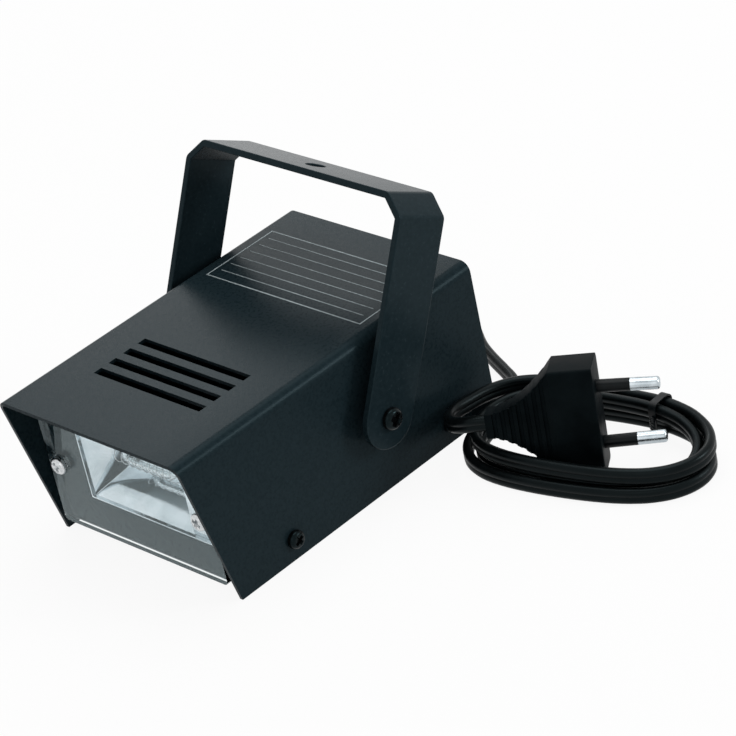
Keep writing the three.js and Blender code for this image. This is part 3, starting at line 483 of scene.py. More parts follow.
def make_plug():
    bm = bmesh.new()
    bmesh.ops.create_grid(bm, x_segments=1, y_segments=1, size=1)
    bmesh.ops.rotate(bm, verts=bm.verts, matrix=Matrix.Rotation(math.pi / 2, 3, "Y"))
    wide = plug_half_width - 0.5 * plug_edge
    thick = plug_half_thick - 0.5 * plug_edge
    bmesh.ops.scale(bm, verts=bm.verts, vec=(1, thick, wide))
    round_corners(bm, plug_edge, steps=4)
    face = bm.faces[:][0]
    along = 0
    for back, inward in plug_stations():
        made = bmesh.ops.extrude_face_region(bm, geom=[face])
        ring = new_verts(made)
        face = next(item for item in made["geom"] if isinstance(item, bmesh.types.BMFace))
        new_wide, new_thick = plug_halves(back)
        new_thick -= inward
        bmesh.ops.scale(bm, verts=ring, vec=(1, new_thick / thick, new_wide / wide))
        bmesh.ops.translate(bm, verts=ring, vec=(along - back, 0, 0))
        wide, thick, along = new_wide, new_thick, back
    bmesh.ops.recalc_face_normals(bm, faces=bm.faces)
    return moved(bm, plug_turned)


plug_skin = finish(
    "plug_vinyl", plug_black, plug_grey, roughness=(0.42, 0.55), patch=7 * mm, grain=0.5 * mm,
    depth=0.015 * mm, specular=0.03, tint=vinyl_sheen,
)
moulded_plug = place_piece(
    "moulded_plug", make_plug(), plug_skin, "housing", "plug_skin", "plug_body", crease=40,
)


# Plug pins
# Round nickel-plated pins, 4 mm thick. The half next to the plug is thinner and carries a black
# plastic sleeve, and the tip is rounded. They lean towards each other, which springs them.
pin_radius = 2 * mm
pin_length = 19 * mm
pin_spacing = 18.6 * mm
pin_tip_spacing = 17.6 * mm
pin_core = 1.2 * mm
pin_seat = 1 * mm
pin_tip = 0.9 * mm
pin_edge = 0.1 * mm
sleeve_length = 10 * mm
sleeve_step = 0.3 * mm
sleeve_gap = 0.02 * mm
sleeve_edge = 0.15 * mm
pin_steps = 32
same_place = 0.001 * mm
nickel_dark = (0.38, 0.43, 0.46)
nickel_light = (0.56, 0.61, 0.64)
pin_lean = math.asin((pin_spacing - pin_tip_spacing) / 2 / pin_length)


def turned(profile, steps):
    """Spins [radius, height] points about Z into a closed piece."""
    bm = bmesh.new()
    points = [bm.verts.new((radius, 0, height)) for radius, height in profile]
    edges = [bm.edges.new(pair) for pair in zip(points, points[1:])]
    bmesh.ops.spin(
        bm, geom=points + edges, cent=(0, 0, 0), axis=(0, 0, 1), angle=2 * math.pi, steps=steps,
        use_merge=True,
    )
    bmesh.ops.remove_doubles(bm, verts=bm.verts, dist=same_place)
    bmesh.ops.recalc_face_normals(bm, faces=bm.faces)
    return bm


def rounded(radius, height, edge, steps=4):
    """Profile points of a rounded outer edge that ends on a flat top."""
    return [
        (radius - edge + edge * math.cos(a), height - edge + edge * math.sin(a))
        for a in (math.pi / 2 * i / steps for i in range(steps + 1))
    ]


pin_plating = finish(
    "nickel_plating", nickel_dark, nickel_light, roughness=(0.22, 0.32), patch=3 * mm,
    grain=0.6 * mm, depth=0.002 * mm, metallic=1.0,
)
sleeve_skin = finish(
    "sleeve_plastic", plug_black, plug_grey, roughness=(0.3, 0.42), patch=4 * mm, grain=0.4 * mm,
    depth=0.006 * mm, specular=0.12,
)
for place, side in (("lower", -1), ("upper", 1)):
    holder = (
        plug_turned
        @ Matrix.Translation((0, 0, side * pin_spacing / 2))
        @ Matrix.Rotation(math.pi / 2 + side * pin_lean, 4, "Y")
    )
    bare_from = sleeve_length + sleeve_gap
    pin_profile = [
        (0, -pin_seat), (pin_core, -pin_seat), (pin_core, sleeve_length - sleeve_step),
        (pin_radius - pin_edge, bare_from), (pin_radius, bare_from + pin_edge),
    ]
    pin_profile += rounded(pin_radius, pin_length, pin_tip, corner_steps) + [(0, pin_length)]
    pin = moved(turned(pin_profile, pin_steps), holder)
    place_piece(
        f"plug_pin_{place}_plated", pin, pin_plating, "housing", "bright_metal",
        f"plug_pin_{place}",
    )
    sleeve_profile = [(pin_core, -pin_seat), (pin_radius, -pin_seat)]
    sleeve_profile += rounded(pin_radius, sleeve_length, sleeve_edge, steps=3)
    sleeve_profile += [(pin_core, sleeve_length), (pin_core, -pin_seat)]
    sleeve = moved(turned(sleeve_profile, pin_steps), holder)
    place_piece(
        f"plug_sleeve_{place}_moulded", sleeve, sleeve_skin, "housing", "plug_skin",
        f"plug_sleeve_{place}",
    )


# Twist tie
# A paper-thin plastic strip with a wire in it, put once round the turns of the cord and twisted,
# with its two ends left standing.
tie_band = 2.6 * mm
tie_corner = 2 * mm
tie_strip = 0.35 * mm
tie_end = 9 * mm
tie_end_drop = 2.2 * mm
tie_strand = 0.45 * mm
tie_strand_sides = 10
tie_strand_steps = 14
tie_twists = 2.5
tie_twisted = 0.7  # of the end's length, past which the strands part
tie_parting = 3  # times their distance in the twist
tie_step = 0.01  # of a turn, for the cord's direction


def tie_frame():
    """Across the turns at the tie in X, up in Y, along the cord in Z, on the floor under them."""
    first = (tie_angle - 180) % 360 / 360
    places = [coil_point(first + turn) for turn in range(loop_turns) if first + turn <= coil_turns]
    up = Vector((0, 0, 1))
    outward = level(coil_point(first + tie_step) - places[0]).cross(up)
    across = [(place - places[0]).dot(outward) for place in places]
    half = cord_thick / 2 + 2 * cord_room
    span = (min(across) - half, max(across) + half)
    heights = [place.z for place in places]
    low = min(heights) - cord_width / 2 - cord_room
    high = max(heights) + cord_width / 2 + 2 * cord_room
    aim = Matrix((outward, up, outward.cross(up))).transposed().to_4x4()
    return Matrix.Translation((places[0].x, places[0].y, 0)) @ aim, span, (low, high)


def rectangle(bm, width, length, middle):
    """A flat face of this width in X and length in Y."""
    made = bmesh.ops.create_grid(bm, x_segments=1, y_segments=1, size=0.5)["verts"]
    bmesh.ops.scale(bm, verts=made, vec=(width, length, 1))
    bmesh.ops.translate(bm, verts=made, vec=middle)


def make_tie():
    matrix, (x0, x1), (y0, y1) = tie_frame()
    bm = bmesh.new()
    rectangle(bm, x1 - x0, y1 - y0, ((x0 + x1) / 2, (y0 + y1) / 2, -tie_band / 2))
    round_corners(bm, tie_corner, corner_steps)
    bmesh.ops.delete(bm, geom=bm.faces, context="FACES_ONLY")
    ring = new_verts(bmesh.ops.extrude_edge_only(bm, edges=bm.edges))
    bmesh.ops.translate(bm, verts=ring, vec=(0, 0, tie_band))
    bmesh.ops.recalc_face_normals(bm, faces=bm.faces)
    bmesh.ops.solidify(bm, geom=bm.faces, thickness=-tie_strip)
    return moved(bm, matrix)


def ring_outline(radius, sides):
    return [
        (radius * math.cos(2 * math.pi * i / sides), radius * math.sin(2 * math.pi * i / sides))
        for i in range(sides)
    ]


def make_tie_strand(start):
    """One of the two strands of the end, which starts at an angle round the end's middle line."""
    matrix, (x0, _), (_, y1) = tie_frame()
    way = curve_through([
        Vector((x0 - 0.6 * tie_wire, y1 - 2 * tie_end_drop, 0)),
        Vector((x0 - 2 * tie_wire, y1 - 2.4 * tie_end_drop, tie_wire)),
        Vector((x0 - 0.45 * tie_end, y1 - 3 * tie_end_drop, 3 * tie_wire)),
        Vector((x0 - 0.6 * tie_end, y1 - 4 * tie_end_drop, 5 * tie_wire)),
    ], tie_strand_steps)
    line = []
    for i, strand_frame in enumerate(frames_along(way)):
        share = i / (len(way) - 1)
        angle = start + 2 * math.pi * tie_twists * min(share / tie_twisted, 1)
        apart = 1 + (tie_parting - 1) * smooth((share - tie_twisted) / (1 - tie_twisted))
        reach = tie_strand * apart
        line.append(strand_frame @ Vector((reach * math.cos(angle), reach * math.sin(angle), 0)))
    bm = swept(ring_outline(tie_strand, tie_strand_sides), frames_along(line))
    return moved(bm, matrix)


tie_skin = finish(
    "tie_strip", plug_black, plug_grey, roughness=(0.3, 0.45), patch=3 * mm, grain=0.5 * mm,
    depth=0.02 * mm, specular=0.2,
)
tie_pieces = [place_piece("twist_tie", make_tie(), tie_skin, "housing", "rubber", "cord_tie")]
for place, start in (("first", 0), ("second", math.pi)):
    tie_pieces.append(place_piece(
        f"tie_strand_{place}", make_tie_strand(start), tie_skin, "housing", "rubber", crease=60,
    ))


# Cover
# One sheet of steel, folded down along both sides, with four slots punched through its top and
# its front edges cut at a slant to make a hood. It has a black powder coat with a fine grain.
cover_sheet = 1.2 * mm
cover_fold = 3.5 * mm
fold_steps = 10
hood_slant = 11.8 * mm
vent_count = 4
vent_length = 47 * mm
vent_width = 3.2 * mm
vent_pitch = 6.2 * mm
vent_front = front_edge + 25.4 * mm
sheet_edge = 0.25 * mm
sharp_from = math.radians(35)
coat_dark = (0.0072, 0.0146, 0.0182)
coat_light = (0.0104, 0.0192, 0.0235)
coat_sheen = (0.6, 0.9, 1)


def drawn(bm, vert, offset):
    """Draws a straight line from a vertex and gives its far end."""
    end = bmesh.ops.extrude_vert_indiv(bm, verts=[vert])["verts"][0]
    bmesh.ops.translate(bm, verts=[end], vec=offset)
    return end


def bent(bm, vert, centre, axis, angle, steps):
    """Draws an arc from a vertex and gives its far end."""
    made = bmesh.ops.spin(bm, geom=[vert], cent=centre, axis=axis, angle=angle, steps=steps)
    return next(item for item in made["geom_last"] if isinstance(item, bmesh.types.BMVert))


def cut_across(bm, point, normal, clear=False):
    """Cuts every face along a plane, and takes off what lies past it if told to."""
    bmesh.ops.bisect_plane(
        bm, geom=bm.verts[:] + bm.edges[:] + bm.faces[:], plane_co=point, plane_no=normal,
        clear_outer=clear,
    )


def face_outwards(bm):
    """Turns the faces of an open sheet the same way, with the highest one upwards."""
    bmesh.ops.recalc_face_normals(bm, faces=bm.faces)
    top = max(bm.faces, key=lambda face: face.calc_center_median().z)
    if top.normal.z < 0:
        bmesh.ops.reverse_faces(bm, faces=bm.faces)


def make_cover():
    half = cover_high.x
    height = cover_high.z
    shoulder = height - cover_fold
    bm = bmesh.new()
    foot = bm.verts.new((half, front_edge, 0))
    end = drawn(bm, foot, (0, 0, shoulder))
    centre = (half - cover_fold, front_edge, shoulder)
    end = bent(bm, end, centre, (0, -1, 0), math.pi / 2, fold_steps)
    end = drawn(bm, end, (2 * cover_fold - 2 * half, 0, 0))
    centre = (cover_fold - half, front_edge, shoulder)
    end = bent(bm, end, centre, (0, -1, 0), math.pi / 2, fold_steps)
    drawn(bm, end, (0, 0, -shoulder))
    rear = new_verts(bmesh.ops.extrude_edge_only(bm, edges=bm.edges))
    bmesh.ops.translate(bm, verts=rear, vec=(0, cover_high.y - front_edge, 0))
    face_outwards(bm)
    for side in (-1, 1):
        cut_across(bm, (side * vent_length / 2, 0, 0), (1, 0, 0))
    slots = [vent_front + i * vent_pitch for i in range(vent_count)]
    for slot_front in slots:
        cut_across(bm, (0, slot_front, 0), (0, 1, 0))
        cut_across(bm, (0, slot_front + vent_width, 0), (0, 1, 0))
    punched = []
    for face in bm.faces:
        middle = face.calc_center_median()
        in_slot = any(slot_front < middle.y < slot_front + vent_width for slot_front in slots)
        if in_slot and abs(middle.x) < vent_length / 2 and middle.z > shoulder:
            punched.append(face)
    bmesh.ops.delete(bm, geom=punched, context="FACES")
    cut_across(bm, (0, front_edge, height), (0, -height, -hood_slant), clear=True)
    return bm


def walled(piece, thickness):
    """Gives a skin its thickness towards the inside."""
    wall = piece.modifiers.new("wall", "SOLIDIFY")
    wall.thickness = thickness
    wall.offset = -1
    wall.use_even_offset = True


def eased(piece, edge, segments=2):
    bevel = piece.modifiers.new("eased_edges", "BEVEL")
    bevel.width = edge
    bevel.segments = segments
    bevel.limit_method = "ANGLE"
    bevel.angle_limit = sharp_from
    bevel.harden_normals = True


def thickened(piece, thickness, edge, segments=2):
    """Gives a sheet its thickness, and breaks its sharp edges."""
    walled(piece, thickness)
    eased(piece, edge, segments)


powder_coat = finish(
    "black_powder_coat", coat_dark, coat_light, roughness=(0.24, 0.34), patch=1.1 * mm,
    grain=0.4 * mm, depth=0.025 * mm, specular=0.06, tint=coat_sheen,
)
folded_cover = place_piece(
    "folded_cover", make_cover(), powder_coat, "housing", "powder_coat", "cover",
)
thickened(folded_cover, cover_sheet, sheet_edge)


# Write-on panel
# A plain outline with ruled lines, screen-printed in white across the rear half of the top.
panel_half = 34 * mm
panel_front = front_edge + 84 * mm
panel_rear = front_edge + 114 * mm
panel_line = 0.45 * mm
panel_rules = 6
panel_rule = 0.7  # of the outline's width
panel_margin = 2.6 * mm
ink_lift = 0.02 * mm
ink_thick = 0.02 * mm
ink_dark = (0.30, 0.36, 0.38)
ink_light = (0.48, 0.55, 0.57)


def printed_line(bm, x0, x1, y0, y1):
    middle = ((x0 + x1) / 2, (y0 + y1) / 2, cover_high.z + ink_lift + ink_thick)
    rectangle(bm, x1 - x0, y1 - y0, middle)


def make_panel():
    bm = bmesh.new()
    for side in (-1, 1):
        x0, x1 = sorted((side * panel_half, side * panel_half - side * panel_line))
        printed_line(bm, x0, x1, panel_front, panel_rear)
    for y in (panel_front, panel_rear - panel_line):
        printed_line(bm, panel_line - panel_half, panel_half - panel_line, y, y + panel_line)
    pitch = (panel_rear - panel_front) / (panel_rules + 1)
    for i in range(1, panel_rules + 1):
        y = panel_front + i * pitch
        reach = panel_half - panel_margin
        printed_line(bm, -reach, reach, y, y + panel_line * panel_rule)
    return bm


ink = finish(
    "white_ink", ink_dark, ink_light, roughness=(0.5, 0.7), patch=1.5 * mm, grain=0.4 * mm,
    depth=0.01 * mm, specular=0.3,
)
write_on_panel = place_piece("write_on_panel", make_panel(), ink, "housing", "powder_coat")
walled(write_on_panel, ink_thick)


# Bracket
# A steel strap, punched while it is flat with a hole at each round end and one in the middle,
# then folded at its four corners. The middle hole takes the bolt that hangs the light.
strap_width = 20 * mm
strap_thick = 2.2 * mm
strap_reach = 68.2 * mm
strap_corner = 6.4 * mm
strap_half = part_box("bracket")[1].x
strap_bend = 0.9 * mm
strap_tilt = math.radians(-28)
strap_edge = 0.35 * mm
hanging_hole = 3.2 * mm
pivot_hole = 2.3 * mm
strap_end_steps = 24
fold_at_once = math.pi / 4
flat_within = math.radians(1)
joints = {joint["name"]: joint for joint in frame["joints"]}
pivot = Vector(joints["bracket_tilt"]["pos_m"])
corner_slope = strap_corner * math.sqrt(2)


def round_hole(bm, place, radius, steps=40):
    made = bmesh.ops.create_circle(bm, cap_ends=False, segments=steps, radius=radius)["verts"]
    bmesh.ops.translate(bm, verts=made, vec=place)


def flat_strap(reach):
    """The flat blank, from pivot to pivot along X."""
    half = strap_width / 2
    bm = bmesh.new()
    start = bm.verts.new((reach, -half, 0))
    end = bent(bm, start, (reach, 0, 0), (0, 0, 1), math.pi, strap_end_steps)
    end = drawn(bm, end, (-2 * reach, 0, 0))
    end = bent(bm, end, (-reach, 0, 0), (0, 0, 1), math.pi, strap_end_steps)
    bm.edges.new((end, start))
    round_hole(bm, (0, 0, 0), hanging_hole)
    for side in (-1, 1):
        round_hole(bm, (side * reach, 0, 0), pivot_hole)
    bmesh.ops.triangle_fill(bm, edges=bm.edges, use_beauty=True, normal=(0, 0, 1))
    bmesh.ops.dissolve_limit(bm, angle_limit=flat_within, verts=bm.verts, edges=bm.edges)
    return bm


def folded_down(bm, line):
    """Folds what lies past a line on both sides of the middle."""
    for side in (-1, 1):
        cut_across(bm, (side * line, 0, 0), (1, 0, 0))
        past = [vert for vert in bm.verts if side * vert.co.x > line + same_place]
        fold = Matrix.Rotation(side * fold_at_once, 3, "Y")
        bmesh.ops.rotate(bm, cent=(side * line, 0, 0), matrix=fold, verts=past)


def make_bracket():
    top = strap_half - strap_corner
    bm = flat_strap(top + corner_slope + strap_reach - strap_corner)
    folded_down(bm, top + corner_slope)
    folded_down(bm, top)
    folds = [
        edge for edge in bm.edges
        if len(edge.link_faces) == 2 and edge.calc_face_angle() > fold_at_once / 2
    ]
    bmesh.ops.bevel(
        bm, geom=folds, offset=strap_bend, affect="EDGES", segments=4, profile=0.5, material=-1,
    )
    face_outwards(bm)
    bmesh.ops.translate(bm, verts=bm.verts, vec=(0, 0, strap_reach))
    return moved(bm, Matrix.Translation(pivot) @ Matrix.Rotation(strap_tilt, 4, "X"))


strap_coat = finish(
    "strap_powder_coat", coat_dark, coat_light, roughness=(0.22, 0.28), patch=1.1 * mm,
    grain=0.4 * mm, depth=0.008 * mm, specular=0.08, tint=coat_sheen,
)
strap_bracket = place_piece(
    "strap_bracket", make_bracket(), strap_coat, "bracket", "powder_coat", "bracket",
)
thickened(strap_bracket, strap_thick, strap_edge, segments=3)


# Side screws
# Black pan-head screws with a cross recess: two on each side hold the cover on the chassis, and a
# larger one on each side is the bracket's pivot.
recess_reach = 0.56  # of the head's radius, as are the next three
recess_width = 0.2
crown_radius = 0.7
shank_radius = 0.5
recess_depth = 0.55  # of the head's height, as are the next two
crown_height = 0.93
head_rim = 0.3
recess_taper = 0.72
dome_steps = 7
head_steps = 40
screw_black = (0.0012, 0.0014, 0.0016)
screw_worn = (0.004, 0.0045, 0.005)
oxide_sheen = (0.5, 0.9, 1)


def make_screw(head, height, length, matrix):
    """A screw that points down -Z, with the underside of its head at the origin."""
    bm = bmesh.new()
    arm = head * recess_width
    bmesh.ops.create_grid(bm, x_segments=3, y_segments=3, size=head * recess_reach)
    for vert in bm.verts:
        for axis in (0, 1):
            if abs(vert.co[axis]) < head * recess_reach / 2:
                vert.co[axis] = math.copysign(arm, vert.co[axis])
    corners = [
        face for face in bm.faces if min(abs(v) for v in face.calc_center_median().xy) > arm
    ]
    bmesh.ops.delete(bm, geom=corners, context="FACES")
    crown = crown_height * height
    bmesh.ops.translate(bm, verts=bm.verts, vec=(0, 0, crown))
    sunk = bm.verts[:]
    mouth = next_ring(bm, [edge for edge in bm.edges if edge.is_boundary])[1]
    bmesh.ops.scale(bm, verts=sunk, vec=(recess_taper, recess_taper, 1))
    bmesh.ops.translate(bm, verts=sunk, vec=(0, 0, -recess_depth * height))
    radius = head * crown_radius
    circle = bmesh.ops.create_circle(bm, cap_ends=False, segments=head_steps, radius=radius)
    bmesh.ops.translate(bm, verts=circle["verts"], vec=(0, 0, crown))
    ring = list({edge for vert in circle["verts"] for edge in vert.link_edges})
    bmesh.ops.triangle_fill(bm, edges=mouth + ring, use_beauty=True, normal=(0, 0, 1))
    sections = []
    start = math.acos(crown_radius)
    for step in range(1, dome_steps + 1):
        angle = start * (1 - step / dome_steps)
        rise = (crown_height - head_rim) * (math.sin(angle) / math.sin(start))
        sections.append((math.cos(angle) * head, height * (head_rim + rise)))
    sections += [(head, 0), (head * shank_radius, 0), (head * shank_radius, -length)]
    level_now = crown
    for new_radius, new_level in sections:
        verts, ring = next_ring(bm, ring)
        share = new_radius / radius
        bmesh.ops.scale(bm, verts=verts, vec=(share, share, 1))
        bmesh.ops.translate(bm, verts=verts, vec=(0, 0, new_level - level_now))
        radius, level_now = new_radius, new_level
    bmesh.ops.contextual_create(bm, geom=ring)
    bmesh.ops.recalc_face_normals(bm, faces=bm.faces)
    return moved(bm, matrix)


def place_screw(node, outward, turn, material, slot, head, height, length):
    """Seats a screw on the place of its node, with its head towards outward."""
    low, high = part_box(node)
    middle = (low + high) / 2
    reach = max(abs(v) for v in (high - low) * 0.5 * Vector([abs(c) for c in outward]))
    seat = middle + outward * (reach - height)
    aim = outward.to_track_quat("Z", "Y").to_matrix().to_4x4()
    matrix = Matrix.Translation(seat) @ aim @ Matrix.Rotation(math.radians(turn), 4, "Z")
    screw = make_screw(head, height, length, matrix)
    place_piece(f"{node}_head", screw, material, "housing", slot, node)


screw_oxide = finish(
    "black_oxide", screw_black, screw_worn, roughness=(0.14, 0.28), patch=1.2 * mm,
    grain=0.25 * mm, depth=0.006 * mm, specular=0.12, tint=oxide_sheen,
)
for side, place, turn in (
    (-1, "left_front", 10), (-1, "left_rear", 65), (1, "right_front", 33), (1, "right_rear", 72),
):
    place_screw(
        f"cover_screw_{place}", Vector((side, 0, 0)), turn, screw_oxide, "black_screw",
        head=3 * mm, height=2.1 * mm, length=6 * mm,
    )
for side, place, turn in ((-1, "left", 20), (1, "right", 48)):
    place_screw(
        f"pivot_screw_{place}", Vector((side, 0, 0)), turn, screw_oxide, "black_screw",
        head=3.6 * mm, height=2.4 * mm, length=10 * mm,
    )


# Pivot spacers
# Short rubber bushes that keep the arms off the cover. The screws squeeze them, so their sides
# bulge a little and they hold the tilt.
spacer_bore = 2.3 * mm
spacer_radius = 5 * mm
spacer_bulge = 0.25 * mm
spacer_steps = 4
spacer_sides = 48
rubber_black = (0.006, 0.006, 0.0065)
rubber_grey = (0.014, 0.014, 0.015)

rubber = finish(
    "black_rubber", rubber_black, rubber_grey, roughness=(0.6, 0.8), patch=4 * mm, grain=0.4 * mm,
    depth=0.02 * mm, specular=0.35,
)


def make_spacer(node, side):
    low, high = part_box(node)
    half = (high.x - low.x) / 2
    outside = [
        (spacer_radius - spacer_bulge * (step / spacer_steps) ** 2, half * step / spacer_steps)
        for step in range(-spacer_steps, spacer_steps + 1)
    ]
    profile = [(spacer_bore, -half)] + outside + [(spacer_bore, half), (spacer_bore, -half)]
    middle = Matrix.Translation((low + high) / 2)
    matrix = middle @ Matrix.Rotation(side * math.pi / 2, 4, "Y")
    return moved(turned(profile, spacer_sides), matrix)


for place, side in (("left", -1), ("right", 1)):
    node = f"pivot_spacer_{place}"
    place_piece(f"{node}_bush", make_spacer(node, side), rubber, "housing", "rubber", node)


# Chassis
# A second folded sheet that closes the housing: the panel behind the window, the floor, the rear
# panel and a lip along both sides for the cover's screws.
chassis_edge = 0.15 * mm


def joined_faces(node):
    """A copy of a solid's mesh with its facets joined into whole faces."""
    bm = bmesh.new()
    bm.from_mesh(frame["nodes"][node].data)
    bmesh.ops.remove_doubles(bm, verts=bm.verts, dist=same_place)
    bmesh.ops.dissolve_limit(
        bm, angle_limit=flat_within, verts=bm.verts, edges=bm.edges, delimit={"NORMAL"},
    )
    return bm


folded_chassis = place_piece(
    "folded_chassis", joined_faces("chassis"), powder_coat, "housing", "powder_coat", "chassis",
)
eased(folded_chassis, chassis_edge)


# Window
# A clear acrylic pane with rounded corners, held against the front panel by two screws.
window_low, window_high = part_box("window")
window_corner = 1.5 * mm
window_hole = 1.8 * mm
window_edge = 0.2 * mm
window_left_low, window_left_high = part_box("window_screw_left")
window_screw_x = abs(window_left_low.x + window_left_high.x) / 2
window_screw_z = (window_left_low.z + window_left_high.z) / 2
smear_size = 12 * mm
smear_span = (0.4, 0.7)
smear_detail = 5


def stood_up(bm, depth, place):
    """Gives a flat sheet its thickness, and stands it upright at a place, with its back there."""
    far = new_verts(bmesh.ops.extrude_face_region(bm, geom=bm.faces))
    bmesh.ops.translate(bm, verts=far, vec=(0, 0, depth))
    moved(bm, Matrix.Translation(place) @ Matrix.Rotation(math.pi / 2, 4, "X"))
    bmesh.ops.recalc_face_normals(bm, faces=bm.faces)


def make_window():
    bm = bmesh.new()
    size = window_high - window_low
    middle = (window_high + window_low) / 2
    rectangle(bm, size.x, size.z, (middle.x, middle.z, 0))
    round_corners(bm, window_corner, corner_steps)
    bmesh.ops.delete(bm, geom=bm.faces, context="FACES_ONLY")
    for side in (-1, 1):
        round_hole(bm, (side * window_screw_x, window_screw_z, 0), window_hole)
    bmesh.ops.triangle_fill(bm, edges=bm.edges, use_beauty=True, normal=(0, 0, 1))
    stood_up(bm, size.y, (0, window_high.y, 0))
    return bm


def clear_material(name, colour, roughness, index, tint=(1, 1, 1)):
    """A clear surface that faint smears make a little duller in places."""
    material = bpy.data.materials.new(name)
    material.use_nodes = True
    tree = material.node_tree
    place = tree.nodes.new("ShaderNodeTexCoord").outputs["Object"]
    smears = noise(tree, place, smear_size, smear_detail)
    set_inputs(tree, tree.nodes["Principled BSDF"], {
        "Base Color": (*colour, 1),
        "Transmission Weight": 1,
        "IOR": index,
        "Specular Tint": (*tint, 1),
        "Roughness": spread(tree, smears, smear_span, roughness),
    })
    return material


acrylic = clear_material(
    "clear_acrylic", colour=(0.93, 0.97, 0.98), roughness=(0.01, 0.04), index=1.34,
    tint=(0.5, 0.93, 1),
)
front_window = place_piece("front_window", make_window(), acrylic, "housing", "acrylic", "window")
eased(front_window, window_edge)


# Window screws
# Two bright pan-head screws: the left one goes through the panel, and the right one also holds
# the reflector.
zinc_dark = (0.5, 0.52, 0.53)
zinc_light = (0.7, 0.72, 0.73)

screw_plating = finish(
    "zinc_plating", zinc_dark, zinc_light, roughness=(0.2, 0.36), patch=1 * mm, grain=0.25 * mm,
    depth=0.006 * mm, metallic=1.0,
)
for place, turn in (("left", 20), ("right", 62)):
    place_screw(
        f"window_screw_{place}", Vector((0, -1, 0)), turn, screw_plating, "bright_metal",
        head=3 * mm, height=1.8 * mm, length=9 * mm,
    )


# Reflector
# A pan pressed from polished aluminium, with sloping walls and a flange round its mouth. A bright
# rim lines the panel's opening.
reflector_low, reflector_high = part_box("reflector")
flange_side = 3.4 * mm
flange_edge = 3.5 * mm
opening_inset = 2.1 * mm  # from the right end of its flange
reflector_edge = 0.1 * mm
rim_width = 0.5 * mm
rim_depth = 1.3 * mm
rim_room = 0.1 * mm
rim_edge = 0.15 * mm
polished_dark = (0.52, 0.58, 0.61)
polished_light = (0.74, 0.79, 0.82)

polished = finish(
    "polished_aluminium", polished_dark, polished_light, roughness=(0.05, 0.12), patch=9 * mm,
    grain=5 * mm, depth=0.02 * mm, metallic=1.0,
)
pressed_reflector = place_piece(
    "pressed_reflector", joined_faces("reflector"), polished, "housing", "polished_aluminium",
    "reflector",
)
eased(pressed_reflector, reflector_edge)


def make_rim():
    left = reflector_low.x + flange_side + rim_room
    right = reflector_high.x - opening_inset - rim_room
    low = reflector_low.z + flange_edge + rim_room
    high = reflector_high.z - flange_edge - rim_room
    bm = bmesh.new()
    rectangle(bm, right - left, high - low, (0, 0, 0))
    inside = bm.faces[:]
    bmesh.ops.inset_region(
        bm, faces=inside, thickness=rim_width, use_boundary=True, use_even_offset=True,
    )
    bmesh.ops.delete(bm, geom=inside, context="FACES_ONLY")
    stood_up(bm, rim_depth, ((left + right) / 2, reflector_low.y, (low + high) / 2))
    return bm


reflector_rim = place_piece(
    "reflector_rim", make_rim(), polished, "housing", "polished_aluminium",
)
eased(reflector_rim, rim_edge)


# Flash tube
# A quartz tube, 4.4 mm thick, whose ends turn back through the reflector into the socket. A metal
# electrode stands in each leg, and the trigger wire is wound round the middle.
tube_low, tube_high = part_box("flash_tube")
tube_radius = (tube_high.z - tube_low.z) / 2
tube_bend = 4 * mm
tube_wall = 0.9 * mm
tube_level = (tube_low.z + tube_high.z) / 2
electrode_radius = 0.8 * mm
electrode_tip = 0.3 * mm
trigger_wire = 0.16 * mm
trigger_turns = 9
trigger_pitch = 3.1 * mm
wire_sides = 6
wire_steps = 16  # to a turn
tube_sides = 24
bend_steps = 8
electrode_steps = 20


def tube_line():
    reach = tube_high.x - tube_radius
    front = tube_low.y + tube_radius
    corner = front + tube_bend
    leg = (tube_high.y, (tube_high.y + corner) / 2)
    line = [Vector((-reach, y, tube_level)) for y in leg]
    for side in (-1, 1):
        quarter = []
        for step in range(bend_steps + 1):
            angle = math.pi / 2 * step / bend_steps
            x = side * (reach - tube_bend + tube_bend * math.cos(angle))
            y = corner - tube_bend * math.sin(angle)
            quarter.append(Vector((x, y, tube_level)))
        line += quarter if side < 0 else quarter[::-1]
    line += [Vector((reach, y, tube_level)) for y in reversed(leg)]
    return line


def make_trigger():
    reach = tube_radius + trigger_wire
    front = tube_low.y + tube_radius
    line = []
    for i in range(trigger_turns * wire_steps + 1):
        angle = 2 * math.pi * i / wire_steps
        x = (i / wire_steps - trigger_turns / 2) * trigger_pitch
        y = front + reach * math.cos(angle)
        line.append(Vector((x, y, tube_level + reach * math.sin(angle))))
    return swept(ring_outline(trigger_wire, wire_sides), frames_along(line))


def make_tube():
    bm = swept(ring_outline(tube_radius, tube_sides), frames_along(tube_line()))
    ends = [face for face in bm.faces if len(face.verts) > 4]
    bmesh.ops.delete(bm, geom=ends, context="FACES_ONLY")
    return bm


def make_electrode(side):
    """A pin along the middle of a leg, from the tube's end to the bend."""
    length = tube_high.y - (tube_low.y + tube_radius + tube_bend)
    profile = [(0, 0), (electrode_radius, 0)]
    profile += rounded(electrode_radius, length, electrode_tip) + [(0, length)]
    place = Matrix.Translation((side * (tube_high.x - tube_radius), tube_high.y, tube_level))
    matrix = place @ Matrix.Rotation(math.pi / 2, 4, "X")
    return moved(turned(profile, electrode_steps), matrix)


quartz = clear_material(
    "clear_quartz", colour=(0.96, 0.98, 0.98), roughness=(0.01, 0.04), index=1.46,
)
quartz_tube = place_piece(
    "quartz_tube", make_tube(), quartz, "housing", "tube_glass", "flash_tube", crease=50,
)
walled(quartz_tube, tube_wall)
for place, side in (("left", -1), ("right", 1)):
    place_piece(
        f"tube_electrode_{place}", make_electrode(side), screw_plating, "housing", "bright_metal",
    )
place_piece("trigger_wire", make_trigger(), screw_plating, "housing", "bright_metal", crease=70)


